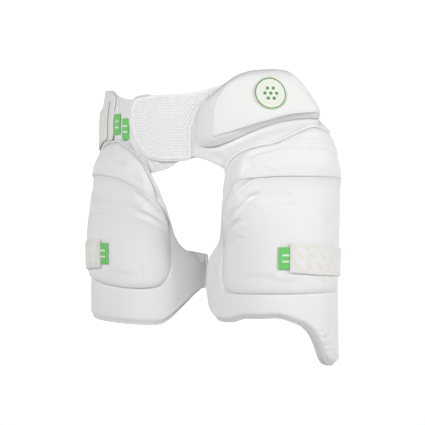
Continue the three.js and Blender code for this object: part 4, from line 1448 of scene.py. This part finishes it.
def alongThigh(degrees):
    return degrees * wearer["thighWidth"] / 2 * math.radians(1)


def makePad(pad):
    name, place, size = pad["name"], onThigh(pad["side"]), pad["hem"] - pad["crown"]
    at = lambda share: -(pad["crown"] + size * share)
    half, tip, turn = strap["wide"] / 2, pad["strapTip"], 360 + strap["root"]
    level = lambda angle: -pad["strapDrop"] - strap["slope"] * (angle - tip) / (turn - tip)

    # The foam body: a wall from the crown to the hem, which narrows to the strap at its wing
    body = shellForm
    topShare, bottomShare, wallShare = (curve(pad["outline"], key) for key in ("top", "bottom", "wall"))
    reach = curve(pad["tongue"], "drop")
    onWing = lambda angle: 1 - smooth((angle - wing["end"]) / wing["run"])
    top = lambda angle: mix(at(topShare(angle)), level(angle + 360) + half, onWing(angle))
    hemLine = lambda angle: mix(at(bottomShare(angle)), -pad["tongueDrop"], reach(angle))
    bottom = lambda angle: mix(hemLine(angle), level(angle + 360) - half, onWing(angle))
    inward = lambda a: pad["standOff"] * smooth((body["standFrom"] - a) / body["standRun"])
    stand = lambda a, h: inward(a) * smooth((h / pad["hem"] + body["standTop"]) / body["standFade"])
    under = lambda a, h: mix(walls["skinGap"], pad["layer"], groinShare(h)) + stand(a, h)
    full = lambda a, h: smooth((top(a) - h) / (wearer["crotchDrop"] * body["thinRun"]) + body["thinStart"])
    wall = lambda a, h: walls["shell"] * wallShare(a) * mix(body["thin"], 1, full(a, h))
    keep = {**body["keep"], "top": pad["topKeep"]}
    shell = Panel(place, (wing["end"], pad["end"]), bottom, top, under, wall, body["hem"], keep)
    drawn = creases(pad["shellFolds"])
    raisedTop, raisedBottom, raisedWall = (curve(pad["cushion"], key) for key in ("top", "bottom", "wall"))
    first, last = pad["cushion"][0]["angle"], pad["cushion"][-1]["angle"]
    low, high = (lambda a: at(raisedBottom(a))), (lambda a: at(raisedTop(a)))

    def detail(a, h, x, y):  # the hem turns under along a ridge, and the foam swells outside the cushion
        up, run = h - bottom(a), alongThigh(a)
        ridge = rim["ridge"] * bell((up - rim["wide"]) / rim["ridgeWide"])
        pucker = 1 + rim["ripple"] * np.sin(run * 2 * pi / rim["pitch"]) * np.sin(run * rim["beat"])
        turned = rim["under"] * pucker * np.clip((rim["wide"] - up) / rim["wide"], 0, 1)
        outside = np.maximum(low(a) + skirt["tuck"] - h, alongThigh(first - a))
        swell = pad["skirt"] * skirt["swell"] * smooth(outside / skirt["ease"])
        below = smooth((at(skirt["from"]) - h) / skirt["fade"])
        return ridge - turned + drawn(a, h, x, y) + swell * below

    piece = shell.build(f"{name}_body", finishes["stretch"], 170, 120, detail)
    dress(piece, "stretch_cloth", f"{name}_shell")

    # The raised panel on the front, sewn down along its edges
    quilt = cushionForm
    spare = quilt["puff"]["cap"]
    raised = lambda a: smooth((a - shellForm["quiltFrom"]) / shellForm["quiltRun"])
    onShell = lambda a, h: shell.outer(a, h) + mix(walls["innerQuiltGap"], walls["quiltGap"], raised(a))
    seamShare = lambda a: smooth((a - pad["seamFrom"]) / seamForm["run"])  # it shows on the outer side alone
    seamKeep = lambda a: mix(1, seamForm["keep"], seamShare(a))
    fromEdge = lambda a, h: smooth(np.minimum(h - low(a), alongThigh(a - first)) / quilt["sewnRun"])
    sewnDown = lambda a, h: mix(shell.outer(a, h) + quilt["sewnGap"], onShell(a, h), fromEdge(a, h))
    wall = lambda a, h: (walls["cushion"] - spare) * raisedWall(a)
    keep = {**quilt["keep"], "top": seamKeep}
    cushion = Panel(place, (first, last), low, high, sewnDown, wall, quilt["hem"], keep)
    across = lambda a, h: smooth((half + strap["pressPast"] - np.abs(h - level(a))) / strap["pressRun"])
    pressed = lambda a, h: across(a, h) * smooth((a - tip + strap["pressBefore"]) / strap["pressRun"])
    room = lambda a, h: spare * raisedWall(a) - strap["press"] * pressed(a, h)
    piece = cushion.build(f"{name}_quilt", finishes["stretch"], 72, 50)
    node = f"{name}_cushion"
    swollen(piece, cushion, quilt["puff"], "stretch_cloth", node, pad["cushionFolds"], room)

    # The warm-white crown above it, with its tape
    dome = crownForm
    crownLow = lambda a: high(a) + mix(seamForm["inner"], seamForm["outer"], seamShare(a))
    rise = lambda a: risen(a - pad["crownStart"], dome["toe"])
    crownTop = lambda a: mix(crownLow(a) + dome["least"], top(a) - dome["belowTop"], rise(a))
    fall = lambda a, h: (top(a) - h) / (top(a) - high(a))
    thick = lambda a, h: mix(dome["thin"], 1, smooth(fall(a, h) * dome["fall"]))
    wall = lambda a, h: walls["cushion"] * raisedWall(a) * thick(a, h)
    keep = {**dome["keep"], "bottom": seamKeep}
    span = (pad["crownStart"], last - dome["endStep"])
    crown = Panel(place, span, crownLow, crownTop, onShell, wall, dome["hem"], keep)
    piece = crown.build(f"{name}_dome", finishes["cream"], 70, 30)
    swollen(piece, crown, dome["puff"], "cream_cloth", f"{name}_crown", pad["crownFolds"])
    angles = np.linspace(dome["bindFrom"], last - dome["bindStep"], 90)[::-1]
    path = list(zip(angles, top(angles)))
    above = lambda a: under(a, top(a)) + dome["bindAbove"]
    edge = binding(f"{name}_dome_binding", place, path, above, pad["edge"], f"{name}_crown_binding")

    # The strap: flat webbing round the back of the leg, doubled at its free end
    bandLow, bandHigh = (lambda a: level(a) - half), (lambda a: level(a) + half)
    onCushion = lambda a, h: cushion.outer(a, h) + spare * raisedWall(a)
    capped = lambda a: np.minimum(a, last - 8)
    crossing = lambda a: [onCushion(capped(a), edgeAt(a)) for edgeAt in (bandLow, bandHigh)]
    overCushion = lambda a: np.max(crossing(a), axis=0) - strap["sink"]
    middle = [shell.outer(strap["root"], level(turn) + s * strap["wide"]) for s in (-0.3, 0, 0.3)]
    overWing = float(np.max(middle)) + walls["drapeGap"]
    skin = walls["skinGap"]

    def lift(a, h):
        front = 1 - smooth((a - pad["end"] + strap["leave"]) / strap["leaveRun"])
        inner = smooth((a - turn + strap["land"]) / strap["landRun"])
        return skin + (overCushion(a) - skin) * front + (overWing - skin) * inner

    hem = evenHem(strap["hem"])
    band = Panel(place, (tip, turn), bandLow, bandHigh, lift, walls["webbing"], hem)
    doubled = lambda a, h, x, y: strap["fold"] * smooth((tip + strap["foldLong"] - a) * 1.5)
    piece = band.build(f"{name}_webbing", finishes["webbing"], 220, 16, doubled)
    dress(piece, "webbing", f"{name}_strap")
    inside, proud = half - strap["threadIn"], strap["fold"] + strap["threadUp"]
    heights = level(tip) + np.linspace(-inside, inside, 24)
    rows = [onPanel(band, [(tip + far, h) for h in heights], proud) for far in strap["threadRows"]]
    for s in (-inside, inside):
        rows.append(along(band, tip + 1, tip + 15, lambda a: level(a) + s, 30, proud))
    sew(f"{name}_strap_thread", rows)
    over = float(overCushion(np.array(tip)))
    start = tip - strap["tagStep"]
    pullTag(f"{name}_strap_pull", place, start, -1, float(level(tip)), over, f"{name}_strap_tag")
    inset, hemSeam = seamForm, rim["wide"] + seamForm["hemIn"]
    seams = [
        along(cushion, first + 4, last - 2, lambda a: low(a) + inset["cushionIn"], 220, 0.1),
        along(crown, pad["seamFrom"] + 8, last - 8, lambda a: crownLow(a) + inset["crownIn"], 180, 0.1),
        along(shell, wing["end"] + 3, pad["end"] - 3, lambda a: bottom(a) + hemSeam, 260, 0.15),
        edge,
    ]
    sew(f"{name}_seam_thread", seams)
    print(f"the {name} pad is made")


makeWaistPanel()
flapPanel = makeFlap()
start, foot = belt["flapStart"], belt["seamFoot"]
flapPath = [(a, float(flapTop(a))) for a in np.linspace(belt["boundTo"], start, 40)]
flapPath += [(start, h) for h in np.linspace(float(flapTop(start)), float(flapBottom(start)), 20)][1:]
flapPath += [(a, float(flapBottom(a))) for a in np.linspace(start + 0.1, foot, 110)]
flapEdge = binding("mesh_flap_binding", onHips, flapPath, beltLift, walls["binding"], "flap_binding")
tagStart = start - flap["tagStep"]
pullTag("mesh_flap_tag", onHips, tagStart, -1, -flap["tagDrop"], beltLift, "flap_tag", flap["tagLean"])
seamRow = lambda a: belt["rise"] * meshSeamHeight(a) + flap["seamIn"]
seamLine = along(flapPanel, foot + 1, belt["seamHead"] - 0.5, seamRow, 60, 0.6)
sew("mesh_flap_thread", [flapEdge, seamLine])
makeHipPanel()
makeHipPad()
makeBadge3d()
makeBackBelt()
print("the belt is made")
makePad(leadPad)
makePad(trailPad)

# The stage: a grey bowl that is floor and backdrop from every side and glows as painted light, soft lamps,
# and the camera
stage = {
    "floor": -0.62,
    "flat": 2.6,
    "curve": 1.2,
    "wall": 2.2,
    "paper": tone(0.4, 0.4, 0.4),
    "fleck": tone(0.85, 0.85, 0.85),
    # painted glow of the bowl: dim where it is not behind the object, bright behind it, and a faint share
    # straight in front
    "dimGlow": tone(0.08, 0.08, 0.08),
    "brightGlow": tone(0.98, 0.98, 0.98),
    "front": 0.12,
}
lamps = table(
    "name place size power",
    ("key", (-0.35, -2.35, 0.9), 1.2, 38),
    ("side", (2.3, -0.35, 0.6), 1.2, 30),
    ("back", (0.4, 2.2, 1.6), 1.6, 8),
)
aim = Vector((0, 0, -0.13))


def makeStage():
    s = stage
    bend = np.linspace(0, pi / 2, 16)
    wide = s["flat"] + s["curve"]
    radii = [0.001, *np.linspace(0.4, s["flat"], 6), *(s["flat"] + s["curve"] * np.sin(bend[1:])), wide]
    heights = [0, *[0] * 6, *(s["curve"] * (1 - np.cos(bend[1:]))), s["wall"]]
    corners = 96
    turns = np.arange(corners) * 2 * pi / corners
    profile = [(radius, s["floor"] + up) for radius, up in zip(radii, heights)]
    points = [(radius * math.cos(t), radius * math.sin(t), z) for radius, z in profile for t in turns]
    mesh = bpy.data.meshes.new("stage")
    mesh.from_pydata(points, [], [face[::-1] for face in ringFaces(len(radii), corners)])
    smoothFaces(mesh)
    paper = Finish("glowing_stage_paper", 0.9)
    grain = paper.noise(3, 2)
    colour = paper.blend(grain * 0.04, s["paper"], s["fleck"])
    spot = paper.node("TexCoord", output="Object")
    sine, cosine = math.sin(view["turn"]), math.cos(view["turn"])
    behind, beside = (
        paper.node("VectorMath", {"operation": "DOT_PRODUCT"}, {0: spot, 1: direction}, output="Value")
        for direction in ((-sine, cosine, 0), (cosine, sine, 0))
    )
    # painted light: the bowl glows brightest beyond the object from the camera's side, dim elsewhere, with a
    # faint glow straight in front; this glow also lights the guard
    glow = behind.step(-0.4, 1.6).greater((1 - beside.size().step(0.8, 2.6)) * s["front"])
    paper.give(paper.shader["Emission Color"], paper.blend(glow, s["dimGlow"], s["brightGlow"]))
    paper.shader["Emission Strength"].default_value = 1.0
    mesh.materials.append(paper.finish(colour, grain, 0.0001, 0.1))
    addObject("stage", mesh)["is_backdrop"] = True


def addLamp(name, place, size, power):
    light = bpy.data.lights.new(name, "AREA")
    light.shape = "DISK"
    light.size = size
    light.energy = power
    lamp = addObject(name, light)
    lamp.location = place
    lamp.rotation_euler = (aim - Vector(place)).to_track_quat("-Z", "Y").to_euler()


def makeCamera():
    v = view
    lens = bpy.data.cameras.new("photo")
    lens.sensor_width = v["sensor"]
    lens.lens = v["sensor"] * v["distance"] / (v["picture"] * v["pixel"])
    lens.shift_x = (v["picture"] / 2 - v["centreX"]) / v["picture"]
    camera = addObject("photo", lens)
    far = v["distance"] * mm
    camera.location = (far * math.sin(v["turn"]), -far * math.cos(v["turn"]), v["height"] * mm)
    camera.rotation_euler = (pi / 2, 0, v["turn"])
    bpy.context.scene.camera = camera


makeStage()
for lamp in lamps:
    addLamp(**lamp)
makeCamera()
bpy.context.scene.view_settings.view_transform = "Standard"
world = bpy.data.worlds.new("soft light")
world.use_nodes = True
sky = world.node_tree.nodes["Background"].inputs
sky["Color"].default_value = tone(1, 1, 1)
sky["Strength"].default_value = 0.04
bpy.context.scene.world = world
print("stage, lamps and camera are set")

flatten = lambda box: [[round(float(x), 5) for x in corner] for corner in box]
{"cad": flatten(cadBox), "visual": flatten(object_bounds())}
